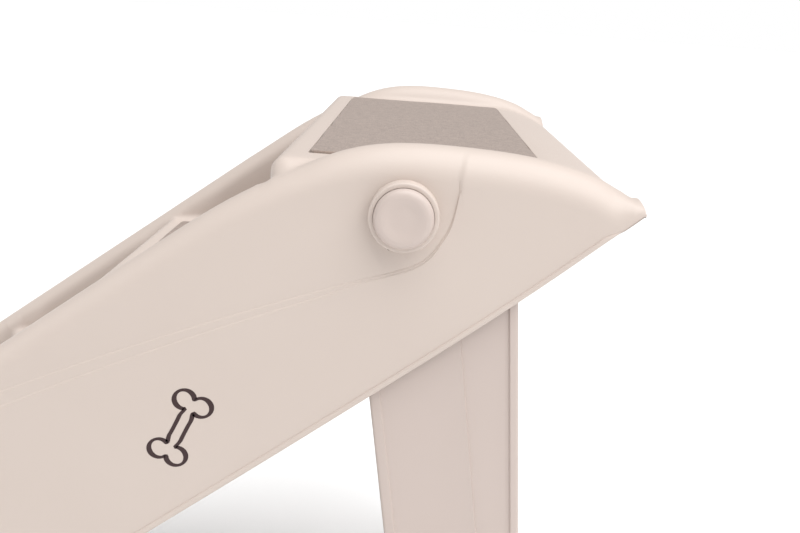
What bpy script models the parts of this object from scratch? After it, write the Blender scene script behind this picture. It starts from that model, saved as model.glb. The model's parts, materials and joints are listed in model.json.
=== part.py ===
"""Folding pet stairs: a moulded four-step body with hollow side rails, and a rear leg frame that
swings up inside the rails when the two round release buttons are pressed.

Frame: metres, +Z up, origin on the floor under the middle of the object. +X points to the high rear
end, -X to the lowest step, +Y to the left of a pet that climbs the stairs.
"""

import math

import bmesh
import bpy
from mathutils import Matrix, Vector

# Overall size
LENGTH = 0.620
WIDTH = 0.400
STEPS = 4
RISE = 0.121
GAP = 0.0003
WALL = 0.003

# Steps
NOSE_SETBACK = 0.0024
NOSE_RADIUS = 0.008
RISER_DRAFT = 0.004
DECK_WALL = 0.0035
DECK_FOOT_Z = 0.0145
PLATFORM_LENGTH = 0.1835
REAR_SLOPE_LENGTH = 0.0375
REAR_DROP = 0.012
REAR_LIP = 0.005
RIB_HEIGHT = 0.008
WALL_LAP = 0.002

# Tread pads
PAD_SIDE_MARGIN = 0.0102
PAD_SETBACK = 0.015
PAD_REAR_MARGIN = 0.018
TOP_PAD_SETBACK = 0.0172
TOP_PAD_REAR_MARGIN = 0.043
PAD_THICKNESS = 0.002
PAD_RECESS = 0.0012
PAD_CORNER = 0.004

# Side rails: the curves are given back from the rear end and down from the top tread
RAIL_WIDTH = 0.032
FRONT_RADIUS = 0.030
FRONT_CROWN_RISE = 0.0506
CROWN_CURVE = [(0.250, 0.0564), (0.1885, 0.0130), (0.146, -0.0072), (0.081, -0.0117), (0.0259, -0.0036),
               (0.0059, 0.0058), (0, 0.0088)]
RAIL_FOOT_Z = 0.0125
RAIL_FOOT_LENGTH = 0.0355
BOTTOM_CURVE = [(0.2374, 0.2027), (0.1388, 0.1260), (0.0523, 0.0566), (0, 0.0118)]
STATIONS = [0.225, 0.205, 0.1885, 0.175, 0.160, 0.140, 0.120, 0.095, 0.070, 0.048, 0.030, 0.018]
ARC_STEPS = 8

# Hinge and release button
PIVOT_BACK = 0.115
PIVOT_DROP = 0.020
SLEEVE_RADIUS = 0.0125
SLEEVE_BORE = 0.0095
COLLAR_WALL = 0.0021
COLLAR_HEIGHT = 0.0075
COLLAR_GUIDE = 0.004
CUP_FLOOR = 0.0015
STEM_RADIUS = 0.005
BUTTON_RADIUS = 0.0145
BUTTON_GAP = 0.0004
BUTTON_STAND_OUT = 0.0125
BUTTON_THICKNESS = 0.0055
BUTTON_DISH = 0.001
BUTTON_EDGE = 0.003
CLIP_THICKNESS = 0.0015
CLIP_RADIUS = 0.0085
RING_THICKNESS = 0.003
RING_RADIUS = 0.0155
SPRING_WIRE = 0.0007
SPRING_RADIUS = 0.0070
SPRING_TURNS = 6
LUG_THICKNESS = 0.004
LUG_GAP = 0.0005
LUG_RADIUS = 0.020
STOP_GAP = 0.0008
HOLE_GAP = 0.0003

# Leg frame: the shoulder and the heel are where its edges turn in to the round head
LEG_OUTER_GAP = 0.0025
LEG_THICKNESS = 0.0205
LEG_HEAD_RADIUS = 0.020
LEG_FRONT_FOOT_BACK = 0.0649
LEG_REAR_FOOT_BACK = 0.0085
SHOULDER_FORWARD = 0.0206
SHOULDER_DROP = 0.059
HEEL_BEHIND = 0.0592
HEEL_DROP = 0.052
LEG_END_Z = 0.006
POCKET_INSET = 0.0035
POCKET_START = 0.048
POCKET_CLEAR = 0.011
LEG_SKIN = 0.003
UPPER_BAR_BELOW_HINGE = 0.207
LOWER_BAR_ABOVE_FLOOR = 0.0334
UPPER_BAR_HEIGHT = 0.040
LOWER_BAR_HEIGHT = 0.060
BAR_END_WALL = 0.004
SCREW_RADIUS = 0.0016
SCREW_LENGTH = 0.014
SCREW_HEAD_RADIUS = 0.0035
SCREW_HEAD_HEIGHT = 0.0022
SCREW_INSET = 0.014

# Rubber feet
FOOT_LENGTH = 0.038
FOOT_SETBACK = 0.004
FOOT_INSET = 0.0035
FOOT_CORNER = 0.005
SHOE_WALL = 0.0015
SHOE_HEIGHT = 0.022

# Places that follow from the sizes above
FRONT_X = -LENGTH / 2
REAR_X = LENGTH / 2
TOP_Z = RISE * STEPS
OUTER_Y = WIDTH / 2
INNER_Y = OUTER_Y - RAIL_WIDTH
DECK_Y = INNER_Y - GAP
FIRST_NOSE_X = FRONT_X + NOSE_SETBACK
RUN = (LENGTH - NOSE_SETBACK - PLATFORM_LENGTH) / (STEPS - 1)
PAD_WIDTH = 2 * (DECK_Y - PAD_SIDE_MARGIN)
RIB_Y = PAD_WIDTH / 4
CROWN_POINTS = [(REAR_X - back, TOP_Z - down) for back, down in CROWN_CURVE]
CROWN_SLOPE = ((CROWN_POINTS[0][1] - RISE - FRONT_CROWN_RISE)
               / (CROWN_POINTS[0][0] - FRONT_X - FRONT_RADIUS))
BOTTOM_POINTS = ([(FRONT_X + RAIL_FOOT_LENGTH, RAIL_FOOT_Z)]
                 + [(REAR_X - back, TOP_Z - down) for back, down in BOTTOM_CURVE])
PIVOT_X = REAR_X - PIVOT_BACK
PIVOT_Z = TOP_Z - PIVOT_DROP
LEG_OUTER_Y = OUTER_Y - WALL - LEG_OUTER_GAP
LEG_INNER_Y = LEG_OUTER_Y - LEG_THICKNESS
LEG_FRONT_FOOT_X = REAR_X - LEG_FRONT_FOOT_BACK
LEG_REAR_FOOT_X = REAR_X - LEG_REAR_FOOT_BACK
LEG_SHOULDER_Z = TOP_Z - SHOULDER_DROP
LEG_HEEL_Z = TOP_Z - HEEL_DROP
LEG_FRONT_LEAN = math.atan((LEG_FRONT_FOOT_X - PIVOT_X + SHOULDER_FORWARD) / LEG_SHOULDER_Z)
LEG_REAR_LEAN = math.atan((LEG_REAR_FOOT_X - PIVOT_X - HEEL_BEHIND) / LEG_HEEL_Z)
LEG_LEAN = (LEG_FRONT_LEAN + LEG_REAR_LEAN) / 2
UPPER_BAR_START = UPPER_BAR_BELOW_HINGE
UPPER_BAR_END = UPPER_BAR_START + UPPER_BAR_HEIGHT
LOWER_BAR_END = PIVOT_Z / math.cos(LEG_LEAN) - LOWER_BAR_ABOVE_FLOOR
LOWER_BAR_START = LOWER_BAR_END - LOWER_BAR_HEIGHT
CROSSBARS = {"upper_crossbar": (UPPER_BAR_START, UPPER_BAR_END, -0.005, 0.043),
             "lower_crossbar": (LOWER_BAR_START, LOWER_BAR_END, -0.003, 0.040)}
POCKET_BAYS = [(POCKET_START, UPPER_BAR_START - POCKET_CLEAR),
               (UPPER_BAR_END + POCKET_CLEAR, LOWER_BAR_START - POCKET_CLEAR)]
LUG_OUTER_Y = DECK_Y - LUG_GAP
LUG_INNER_Y = LUG_OUTER_Y - LUG_THICKNESS
RING_OUTER_Y = LUG_INNER_Y - GAP
SLEEVE_END_Y = RING_OUTER_Y - RING_THICKNESS - 0.001
CUP_FLOOR_Y = OUTER_Y + GAP + CUP_FLOOR
BUTTON_FACE_Y = OUTER_Y + BUTTON_STAND_OUT
BUTTON_BACK_Y = BUTTON_FACE_Y - BUTTON_THICKNESS
COLLAR_BORE = BUTTON_RADIUS + BUTTON_GAP
COLLAR_RADIUS = COLLAR_BORE + COLLAR_WALL
SIDES = {"left": 1, "right": -1}

PAINT = {
    "body_plastic": ((0.823, 0.724, 0.665), 0.42, 0.0),
    "button_plastic": ((0.791, 0.694, 0.638), 0.38, 0.0),
    "leg_plastic": ((0.800, 0.700, 0.645), 0.42, 0.0),
    "tread_felt": ((0.491, 0.418, 0.371), 0.95, 0.0),
    "foot_rubber": ((0.178, 0.162, 0.150), 0.80, 0.0),
    "steel": ((0.560, 0.560, 0.570), 0.30, 1.0),
}


def clear_scene():
    for obj in list(bpy.data.objects):
        bpy.data.objects.remove(obj, do_unlink=True)


def material(name):
    made = bpy.data.materials.get(name)
    if made:
        return made
    colour, roughness, metallic = PAINT[name]
    made = bpy.data.materials.new(name)
    made.use_nodes = True
    shader = made.node_tree.nodes["Principled BSDF"]
    shader.inputs["Base Color"].default_value = (*colour, 1)
    shader.inputs["Roughness"].default_value = roughness
    shader.inputs["Metallic"].default_value = metallic
    return made


def add_object(name, mesh_maker, paint=None, origin=(0, 0, 0), smooth=False):
    """An object from a bmesh, with its origin moved to the given point and its faces turned outwards."""
    bmesh.ops.remove_doubles(mesh_maker, verts=mesh_maker.verts, dist=1e-7)
    bmesh.ops.recalc_face_normals(mesh_maker, faces=mesh_maker.faces)
    bmesh.ops.translate(mesh_maker, verts=mesh_maker.verts, vec=-Vector(origin))
    mesh = bpy.data.meshes.new(name)
    mesh_maker.to_mesh(mesh)
    mesh_maker.free()
    if smooth:
        mesh.shade_smooth()
        mesh.set_sharp_from_angle(angle=math.radians(35))
    obj = bpy.data.objects.new(name, mesh)
    obj.location = origin
    bpy.context.scene.collection.objects.link(obj)
    if paint:
        mesh.materials.append(material(paint))
    return obj


def prism(outline, low_y, high_y):
    """A bmesh of an outline in the XZ plane, extruded along Y."""
    shape = bmesh.new()
    face = shape.faces.new([shape.verts.new((x, low_y, z)) for x, z in outline])
    grown = bmesh.ops.extrude_face_region(shape, geom=[face])
    moved = [item for item in grown["geom"] if isinstance(item, bmesh.types.BMVert)]
    bmesh.ops.translate(shape, verts=moved, vec=(0, high_y - low_y, 0))
    return shape


def box(low, high):
    outline = [(low[0], low[2]), (high[0], low[2]), (high[0], high[2]), (low[0], high[2])]
    return prism(outline, low[1], high[1])


def turned(profile, steps=32, centre=(PIVOT_X, PIVOT_Z)):
    """A bmesh turned about a line along Y from a closed profile of (radius, y)."""
    shape = bmesh.new()
    points = [shape.verts.new((radius, y, 0)) for radius, y in profile]
    edges = [shape.edges.new((a, b)) for a, b in zip(points, points[1:] + points[:1])]
    bmesh.ops.spin(shape, geom=points + edges, cent=(0, 0, 0), axis=(0, 1, 0), angle=2 * math.pi,
                   steps=steps, use_merge=True)
    bmesh.ops.remove_doubles(shape, verts=shape.verts, dist=1e-7)
    loose = [edge for edge in shape.edges if not edge.link_faces]
    bmesh.ops.delete(shape, geom=loose, context="EDGES")
    bmesh.ops.translate(shape, verts=shape.verts, vec=(centre[0], 0, centre[1]))
    return shape


def loft(rings):
    """A bmesh skinned over rings of equal length, with both ends closed."""
    shape = bmesh.new()
    rows = [[shape.verts.new(point) for point in ring] for ring in rings]
    for first, second in zip(rows, rows[1:]):
        for i in range(len(first)):
            j = (i + 1) % len(first)
            shape.faces.new((first[i], first[j], second[j], second[i]))
    shape.faces.new(rows[0])
    shape.faces.new(rows[-1])
    return shape


def boolean(obj, shape, operation):
    """Cuts or joins a bmesh to an object with a live Boolean, and keeps its helper out of the part."""
    helper = add_object(f"{obj.name}_helper_{len(obj.modifiers)}", shape)
    helper.hide_render = True
    helper.display_type = "WIRE"
    step = obj.modifiers.new(operation.title(), "BOOLEAN")
    step.operation = operation
    step.object = helper
    step.solver = "EXACT"


def smooth_height(points, x):
    """Height at x on a smooth curve through points, straight beyond both ends."""
    slopes = [(b[1] - a[1]) / (b[0] - a[0]) for a, b in zip(points, points[1:])]
    tangents = [slopes[0]] + [(a + b) / 2 for a, b in zip(slopes, slopes[1:])] + [slopes[-1]]
    if x <= points[0][0]:
        return points[0][1] + slopes[0] * (x - points[0][0])
    for i, (a, b) in enumerate(zip(points, points[1:])):
        if x <= b[0]:
            break
    span = b[0] - a[0]
    t = (x - a[0]) / span
    return ((2 * t**3 - 3 * t**2 + 1) * a[1] + (t**3 - 2 * t**2 + t) * span * tangents[i]
            + (3 * t**2 - 2 * t**3) * b[1] + (t**3 - t**2) * span * tangents[i + 1])


def crown_height(x):
    """Top of the rail: rounded over at the front, straight up the slope, then curved over the platform."""
    centre_x = FRONT_X + FRONT_RADIUS
    slope_angle = math.atan(CROWN_SLOPE)
    start = CROWN_POINTS[0]
    if x < centre_x - FRONT_RADIUS * math.sin(slope_angle):
        line_z = start[1] + CROWN_SLOPE * (centre_x - start[0])
        centre_z = line_z - FRONT_RADIUS / math.cos(slope_angle)
        return centre_z + math.sqrt(max(FRONT_RADIUS**2 - (x - centre_x) ** 2, 0))
    if x < start[0]:
        return start[1] + CROWN_SLOPE * (x - start[0])
    return smooth_height(CROWN_POINTS, x)


def bottom_height(x):
    return RAIL_FOOT_Z if x < BOTTOM_POINTS[0][0] else smooth_height(BOTTOM_POINTS, x)


def rail_stations():
    """Places along the rail, closer together where it curves."""
    slope_angle = math.atan(CROWN_SLOPE)
    turns = [math.pi / 2 - (math.pi / 2 - slope_angle) * i / 4 for i in range(5)]
    front = [FRONT_X + FRONT_RADIUS * (1 - math.sin(angle)) for angle in turns]
    foot_end, slope_end = BOTTOM_POINTS[0][0], CROWN_POINTS[0][0]
    straight = [foot_end, foot_end + 0.008, (foot_end + slope_end) / 2, slope_end]
    return front + straight + [REAR_X - back for back in STATIONS] + [CROWN_POINTS[-2][0], REAR_X]


def rail_ring(x, side, inset, bottom):
    """Section of the rail at x: two upright walls under a half-round top, moved in by the inset."""
    slope = (crown_height(x + 0.001) - crown_height(x - 0.001)) / 0.002 if x > FRONT_X + 0.001 else 0
    top = crown_height(x) - inset * math.sqrt(1 + slope**2)
    half = RAIL_WIDTH / 2 - inset
    rise = min(half, crown_height(x) - bottom_height(x) - 0.001)
    centre_y = OUTER_Y - RAIL_WIDTH / 2
    angles = [math.pi * i / ARC_STEPS for i in range(ARC_STEPS + 1)]
    arc = [(centre_y + half * math.cos(angle), top - rise + rise * math.sin(angle)) for angle in angles]
    section = [(centre_y + half, bottom)] + arc + [(centre_y - half, bottom)]
    return [(x, side * y, z) for y, z in section]


def nose_x(step):
    return FIRST_NOSE_X + RUN * (step - 1)


def deck_line(inset):
    """Line of the risers and treads from the floor to the rear lip, moved inside by the inset."""
    points = []
    for step in range(1, STEPS + 1):
        x, z = nose_x(step), RISE * step
        floor = DECK_FOOT_Z if step == 1 else z - RISE - inset
        points.append((x - RISER_DRAFT * (step > 1) + inset, floor))
        radius = max(NOSE_RADIUS - inset, 0.0005)
        for i in range(4):
            angle = math.pi - math.pi / 2 * i / 3
            points.append((x + NOSE_RADIUS + radius * math.cos(angle),
                           z - NOSE_RADIUS + radius * math.sin(angle)))
    flat_end = REAR_X - REAR_SLOPE_LENGTH
    rear = REAR_X - GAP - 0.001
    points += [(flat_end, TOP_Z - inset), ((flat_end + rear) / 2, TOP_Z - 0.3 * REAR_DROP - inset),
               (rear - inset, TOP_Z - REAR_DROP - inset), (rear - inset, TOP_Z - REAR_DROP - REAR_LIP)]
    return points


def pad_span(step):
    if step == STEPS:
        return nose_x(step) + TOP_PAD_SETBACK, REAR_X - TOP_PAD_REAR_MARGIN
    return nose_x(step) + PAD_SETBACK, nose_x(step + 1) - PAD_REAR_MARGIN


def rounded_plate(low, high, corner):
    """A bmesh plate between two corners whose upright edges are rounded."""
    shape = box(low, high)
    upright = [edge for edge in shape.edges if abs(edge.verts[0].co.z - edge.verts[1].co.z) > 1e-5]
    bmesh.ops.bevel(shape, geom=upright, offset=corner, segments=3, affect="EDGES")
    return shape


def make_deck():
    outline = deck_line(0) + deck_line(DECK_WALL)[::-1]
    deck = add_object("step_deck", prism(outline, -DECK_Y, DECK_Y), "body_plastic", smooth=True)
    for step in range(1, STEPS + 1):
        z = RISE * step
        front, rear = pad_span(step)
        clear = 2 * GAP
        low = (front - clear, -PAD_WIDTH / 2 - clear, z - PAD_RECESS)
        high = (rear + clear, PAD_WIDTH / 2 + clear, z + 0.01)
        boolean(deck, rounded_plate(low, high, PAD_CORNER), "DIFFERENCE")
        for y in (-RIB_Y, RIB_Y):
            rib = box((nose_x(step) + 0.015, y - WALL / 2, z - DECK_WALL - RIB_HEIGHT),
                      (rear, y + WALL / 2, z - DECK_WALL + 0.0008))
            boolean(deck, rib, "UNION")
    for side in SIDES.values():
        low_y, high_y = sorted((side * LUG_INNER_Y, side * LUG_OUTER_Y))
        top = TOP_Z - DECK_WALL + 0.0008
        arc = [(PIVOT_X + LUG_RADIUS * math.cos(angle), PIVOT_Z + LUG_RADIUS * math.sin(angle))
               for angle in (math.pi + math.pi * i / 12 for i in range(13))]
        lug = [(PIVOT_X - LUG_RADIUS, top)] + arc + [(PIVOT_X + LUG_RADIUS, top)]
        boolean(deck, prism(lug, low_y, high_y), "UNION")
    boolean(deck, hole(SLEEVE_RADIUS + HOLE_GAP, -DECK_Y - 0.01, DECK_Y + 0.01), "DIFFERENCE")
    return deck


def hole(radius, low_y, high_y, centre=(PIVOT_X, PIVOT_Z), steps=32):
    angles = [2 * math.pi * i / steps for i in range(steps)]
    points = [(centre[0] + radius * math.cos(angle), centre[1] + radius * math.sin(angle))
              for angle in angles]
    return prism(points, low_y, high_y)


def stop_web(side):
    """Web in the rail that the open leg's heel rests against."""
    heel = Vector((leg_edge_x(LEG_HEEL_Z, rear=True), LEG_HEEL_Z))
    touch = tangent_point(heel, LEG_HEAD_RADIUS, 1)
    along = (heel - touch).normalized()
    out = Vector((-along.y, along.x))
    start = touch + along * 0.012
    corners = [start + out * STOP_GAP, heel + out * STOP_GAP, heel + out * (STOP_GAP + WALL),
               start + out * (STOP_GAP + WALL)]
    low_y, high_y = sorted((side * (INNER_Y + WALL + 0.001), side * (OUTER_Y - 0.001)))
    return prism([tuple(corner) for corner in corners], low_y, high_y)


def inner_wall_cut():
    """Outline of what is cut from the rail's inner wall: all below the deck, and never into its round top."""
    under = deck_line(DECK_WALL + WALL_LAP)
    steps = [point for point in under if point[0] < nose_x(STEPS) + NOSE_RADIUS]
    under_top = TOP_Z - DECK_WALL - WALL_LAP
    platform = [(x, under_top) for x in rail_stations() if x > nose_x(STEPS) + NOSE_RADIUS]
    edge = [(x, min(z, crown_height(x) - RAIL_WIDTH / 2 - WALL)) for x, z in steps[1:] + platform]
    return [(FRONT_X + WALL, -0.05), (FRONT_X + WALL, RAIL_FOOT_Z + WALL), *edge,
            (REAR_X + 0.02, edge[-1][1]), (REAR_X + 0.02, -0.05)]


def make_rail(name, side):
    rings = [rail_ring(x, side, 0, bottom_height(x)) for x in rail_stations()]
    rail = add_object(name, loft(rings), "body_plastic", smooth=True)
    foot_end = BOTTOM_POINTS[0][0]
    cavity = []
    for x in rail_stations()[1:-2]:
        floor = RAIL_FOOT_Z + WALL if x <= foot_end else bottom_height(x) - 0.02
        cavity.append(rail_ring(max(x, FRONT_X + WALL), side, WALL, floor))
    boolean(rail, loft(cavity), "DIFFERENCE")
    low_y, high_y = sorted((side * (INNER_Y - 0.004), side * (INNER_Y + WALL + 0.002)))
    boolean(rail, prism(inner_wall_cut(), low_y, high_y), "DIFFERENCE")
    low_y, high_y = sorted((side * (INNER_Y - 0.005), side * (OUTER_Y + 0.005)))
    boolean(rail, hole(SLEEVE_RADIUS + HOLE_GAP, low_y, high_y), "DIFFERENCE")
    boolean(rail, stop_web(side), "UNION")
    return rail


def leg_edge_x(z, rear=False):
    foot, lean = (LEG_REAR_FOOT_X, LEG_REAR_LEAN) if rear else (LEG_FRONT_FOOT_X, LEG_FRONT_LEAN)
    return foot - z * math.tan(lean)


def tangent_point(point, radius, turn):
    """Where a straight line from the point touches a circle round the pivot."""
    away = point - Vector((PIVOT_X, PIVOT_Z))
    angle = math.atan2(away.y, away.x) + turn * math.acos(radius / away.length)
    return Vector((PIVOT_X + radius * math.cos(angle), PIVOT_Z + radius * math.sin(angle)))


def leg_outline():
    shoulder = Vector((leg_edge_x(LEG_SHOULDER_Z), LEG_SHOULDER_Z))
    heel = Vector((leg_edge_x(LEG_HEEL_Z, rear=True), LEG_HEEL_Z))
    centre = Vector((PIVOT_X, PIVOT_Z))
    first = tangent_point(heel, LEG_HEAD_RADIUS, 1) - centre
    last = tangent_point(shoulder, LEG_HEAD_RADIUS, -1) - centre
    start = math.atan2(first.y, first.x)
    turn = (math.atan2(last.y, last.x) - start) % (2 * math.pi)
    head = [(PIVOT_X + LEG_HEAD_RADIUS * math.cos(start + turn * i / 16),
             PIVOT_Z + LEG_HEAD_RADIUS * math.sin(start + turn * i / 16)) for i in range(17)]
    return [(leg_edge_x(LEG_END_Z), LEG_END_Z), (leg_edge_x(LEG_END_Z, rear=True), LEG_END_Z), tuple(heel),
            *head, tuple(shoulder)]


def leg_point(along, across):
    """Point at a distance down the leg from the pivot and across it towards the rear."""
    return (PIVOT_X + along * math.sin(LEG_LEAN) + across * math.cos(LEG_LEAN),
            PIVOT_Z - along * math.cos(LEG_LEAN) + across * math.sin(LEG_LEAN))


def pocket_outline(start, end):
    corners = [leg_point(start, 0)[1], leg_point(end, 0)[1]]
    top, foot = corners
    return [(leg_edge_x(top) + POCKET_INSET, top), (leg_edge_x(foot) + POCKET_INSET, foot),
            (leg_edge_x(foot, rear=True) - POCKET_INSET, foot),
            (leg_edge_x(top, rear=True) - POCKET_INSET, top)]


def screw_places():
    """(crossbar, x, z) of each screw that holds a crossbar's end to a leg."""
    places = []
    for bar, (start, end, front, rear) in CROSSBARS.items():
        for across in (front + SCREW_INSET, rear - SCREW_INSET):
            places.append((bar, *leg_point((start + end) / 2, across)))
    return places


def make_leg(name, side):
    low_y, high_y = sorted((side * LEG_INNER_Y, side * LEG_OUTER_Y))
    leg = add_object(name, prism(leg_outline(), low_y, high_y), "leg_plastic",
                     origin=(PIVOT_X, side * LEG_INNER_Y, PIVOT_Z), smooth=True)
    boolean(leg, hole(SLEEVE_RADIUS + HOLE_GAP, low_y - 0.01, high_y + 0.01), "DIFFERENCE")
    low_y, high_y = sorted((side * (LEG_INNER_Y - 0.005), side * (LEG_OUTER_Y - LEG_SKIN)))
    for start, end in POCKET_BAYS:
        boolean(leg, prism(pocket_outline(start, end), low_y, high_y), "DIFFERENCE")
    depth = SCREW_LENGTH - BAR_END_WALL + 0.001
    low_y, high_y = sorted((side * (LEG_INNER_Y - 0.005), side * (LEG_INNER_Y + depth)))
    for _, x, z in screw_places():
        boolean(leg, hole(SCREW_RADIUS + HOLE_GAP, low_y, high_y, (x, z), 12), "DIFFERENCE")
    return leg


def bar_outline(start, end, front, rear):
    return [leg_point(start, front), leg_point(end, front), leg_point(end, rear), leg_point(start, rear)]


def make_crossbar(name, start, end, front, rear):
    reach = LEG_INNER_Y - GAP
    bar = add_object(name, prism(bar_outline(start, end, front, rear), -reach, reach), "leg_plastic",
                     origin=(PIVOT_X, 0, PIVOT_Z))
    inside = reach - BAR_END_WALL
    pocket = bar_outline(start + WALL, end - WALL, front + WALL, rear + 0.01)
    boolean(bar, prism(pocket, -inside, inside), "DIFFERENCE")
    for screw_bar, x, z in screw_places():
        if screw_bar == name:
            boolean(bar, hole(SCREW_RADIUS + HOLE_GAP, -reach - 0.01, reach + 0.01, (x, z), 12), "DIFFERENCE")
    return bar


def make_screws(parent):
    seat = LEG_INNER_Y - GAP - BAR_END_WALL - GAP
    for side_name, side in SIDES.items():
        for number, (bar, x, z) in enumerate(screw_places()):
            profile = [(0, seat - SCREW_HEAD_HEIGHT), (SCREW_HEAD_RADIUS * 0.7, seat - SCREW_HEAD_HEIGHT),
                       (SCREW_HEAD_RADIUS, seat - SCREW_HEAD_HEIGHT / 2), (SCREW_HEAD_RADIUS, seat),
                       (SCREW_RADIUS, seat), (SCREW_RADIUS, seat + SCREW_LENGTH - 0.002),
                       (0, seat + SCREW_LENGTH)]
            name = f"{bar.split('_')[0]}_screw_{side_name}_{number % 2 + 1}"
            shape = turned([(radius, side * y) for radius, y in profile], 12, (x, z))
            screw = add_object(name, shape, "steel", origin=(x, side * seat, z), smooth=True)
            hang(screw, parent)


def make_shoe(name, side):
    """Rubber shoe on the end of a leg, flat on the floor."""
    def outline(grow, low, high):
        return [(leg_edge_x(low) - grow, low), (leg_edge_x(low, rear=True) + grow, low),
                (leg_edge_x(high, rear=True) + grow, high), (leg_edge_x(high) - grow, high)]

    def reach(grow):
        return sorted((side * (LEG_INNER_Y - grow), side * (LEG_OUTER_Y + grow)))

    shoe = add_object(name, prism(outline(SHOE_WALL + GAP, 0, SHOE_HEIGHT), *reach(SHOE_WALL + GAP)),
                      "foot_rubber", origin=(leg_edge_x(0), side * LEG_INNER_Y, 0))
    boolean(shoe, prism(outline(GAP, LEG_END_Z - GAP, SHOE_HEIGHT + 0.01), *reach(GAP)), "DIFFERENCE")
    return shoe


def make_front_foot(name, side):
    low_y, high_y = sorted((side * (INNER_Y + FOOT_INSET), side * (OUTER_Y - FOOT_INSET)))
    front = FRONT_X + FOOT_SETBACK
    shape = rounded_plate((front, low_y, 0), (front + FOOT_LENGTH, high_y, RAIL_FOOT_Z - GAP), FOOT_CORNER)
    return add_object(name, shape, "foot_rubber", origin=(front, side * INNER_Y, 0))


def make_pad(step):
    z = RISE * step - PAD_RECESS + GAP
    front, rear = pad_span(step)
    high = (rear, PAD_WIDTH / 2, z + PAD_THICKNESS)
    shape = rounded_plate((front, -PAD_WIDTH / 2, z), high, PAD_CORNER)
    return add_object(f"tread_pad_{step}", shape, "tread_felt", origin=(front, 0, z))


def make_collar(name, side):
    base = OUTER_Y + GAP
    top = OUTER_Y + COLLAR_HEIGHT
    guide = SLEEVE_END_Y + COLLAR_GUIDE
    profile = [(SLEEVE_RADIUS, SLEEVE_END_Y), (SLEEVE_RADIUS, base), (COLLAR_RADIUS, base),
               (COLLAR_RADIUS, top - 0.001), (COLLAR_RADIUS - 0.0005, top - 0.0003),
               (COLLAR_RADIUS - 0.001, top), (COLLAR_BORE, top), (COLLAR_BORE, CUP_FLOOR_Y),
               (SLEEVE_BORE, CUP_FLOOR_Y), (SLEEVE_BORE, guide), (STEM_RADIUS + 2 * GAP, guide),
               (STEM_RADIUS + 2 * GAP, SLEEVE_END_Y)]
    shape = turned([(radius, side * y) for radius, y in profile])
    return add_object(name, shape, "body_plastic", origin=(PIVOT_X, side * OUTER_Y, PIVOT_Z), smooth=True)


def make_ring(name, inner, outer, side, outer_y, thickness):
    profile = [(inner, outer_y - thickness), (outer, outer_y - thickness), (outer, outer_y), (inner, outer_y)]
    shape = turned([(radius, side * y) for radius, y in profile])
    return add_object(name, shape, "steel", origin=(PIVOT_X, side * outer_y, PIVOT_Z), smooth=True)


def make_button(name, side):
    stem_end = SLEEVE_END_Y - GAP - CLIP_THICKNESS - 0.002
    edge = BUTTON_EDGE
    profile = [(0, BUTTON_FACE_Y - BUTTON_DISH), (BUTTON_RADIUS * 0.6, BUTTON_FACE_Y - BUTTON_DISH),
               (BUTTON_RADIUS * 0.75, BUTTON_FACE_Y), (BUTTON_RADIUS - edge, BUTTON_FACE_Y),
               (BUTTON_RADIUS - 0.3 * edge, BUTTON_FACE_Y - 0.3 * edge),
               (BUTTON_RADIUS, BUTTON_FACE_Y - edge), (BUTTON_RADIUS, BUTTON_BACK_Y),
               (STEM_RADIUS, BUTTON_BACK_Y), (STEM_RADIUS, stem_end), (0, stem_end)]
    shape = turned([(radius, side * y) for radius, y in profile])
    return add_object(name, shape, "button_plastic", origin=(PIVOT_X, side * BUTTON_FACE_Y, PIVOT_Z),
                      smooth=True)


def make_spring(name, side):
    start = SLEEVE_END_Y + COLLAR_GUIDE + SPRING_WIRE + GAP
    end = BUTTON_BACK_Y - SPRING_WIRE - GAP
    steps = SPRING_TURNS * 10
    curve = bpy.data.curves.new(name, "CURVE")
    curve.dimensions = "3D"
    curve.bevel_depth = SPRING_WIRE
    curve.bevel_resolution = 1
    curve.use_fill_caps = True
    spline = curve.splines.new("POLY")
    spline.points.add(steps)
    for i, point in enumerate(spline.points):
        angle = 2 * math.pi * SPRING_TURNS * i / steps
        y = start + (end - start) * i / steps - SLEEVE_END_Y
        point.co = (SPRING_RADIUS * math.cos(angle), side * y, SPRING_RADIUS * math.sin(angle), 1)
    curve.materials.append(material("steel"))
    spring = bpy.data.objects.new(name, curve)
    spring.location = (PIVOT_X, side * SLEEVE_END_Y, PIVOT_Z)
    bpy.context.scene.collection.objects.link(spring)
    return spring


def hang(obj, parent):
    """Parents an object without moving it."""
    bpy.context.view_layer.update()
    obj.parent = parent
    obj.matrix_parent_inverse = Matrix(parent.matrix_world).inverted()


def make_axis(name, place):
    axis = bpy.data.objects.new(name, None)
    axis.location = place
    axis.empty_display_size = 0.03
    bpy.context.scene.collection.objects.link(axis)
    return axis


def main():
    clear_scene()
    leg_axis = make_axis("leg_fold_axis", (PIVOT_X, 0, PIVOT_Z))
    make_deck()
    for step in range(1, STEPS + 1):
        make_pad(step)
    for side_name, side in SIDES.items():
        make_rail(f"side_rail_{side_name}", side)
        make_front_foot(f"front_foot_{side_name}", side)
        make_collar(f"hinge_collar_{side_name}", side)
        make_ring(f"retaining_ring_{side_name}", SLEEVE_RADIUS + HOLE_GAP, RING_RADIUS, side,
                  RING_OUTER_Y, RING_THICKNESS)
        make_spring(f"button_spring_{side_name}", side)
        button_axis = make_axis(f"button_axis_{side_name}", (PIVOT_X, side * BUTTON_FACE_Y, PIVOT_Z))
        hang(make_button(f"release_button_{side_name}", side), button_axis)
        clip = make_ring(f"button_clip_{side_name}", STEM_RADIUS + HOLE_GAP, CLIP_RADIUS, side,
                         SLEEVE_END_Y - GAP, CLIP_THICKNESS)
        hang(clip, button_axis)
        hang(make_leg(f"leg_{side_name}", side), leg_axis)
        hang(make_shoe(f"leg_foot_{side_name}", side), leg_axis)
    for name, sizes in CROSSBARS.items():
        hang(make_crossbar(name, *sizes), leg_axis)
    make_screws(leg_axis)


main()
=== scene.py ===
import json
import math

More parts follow.
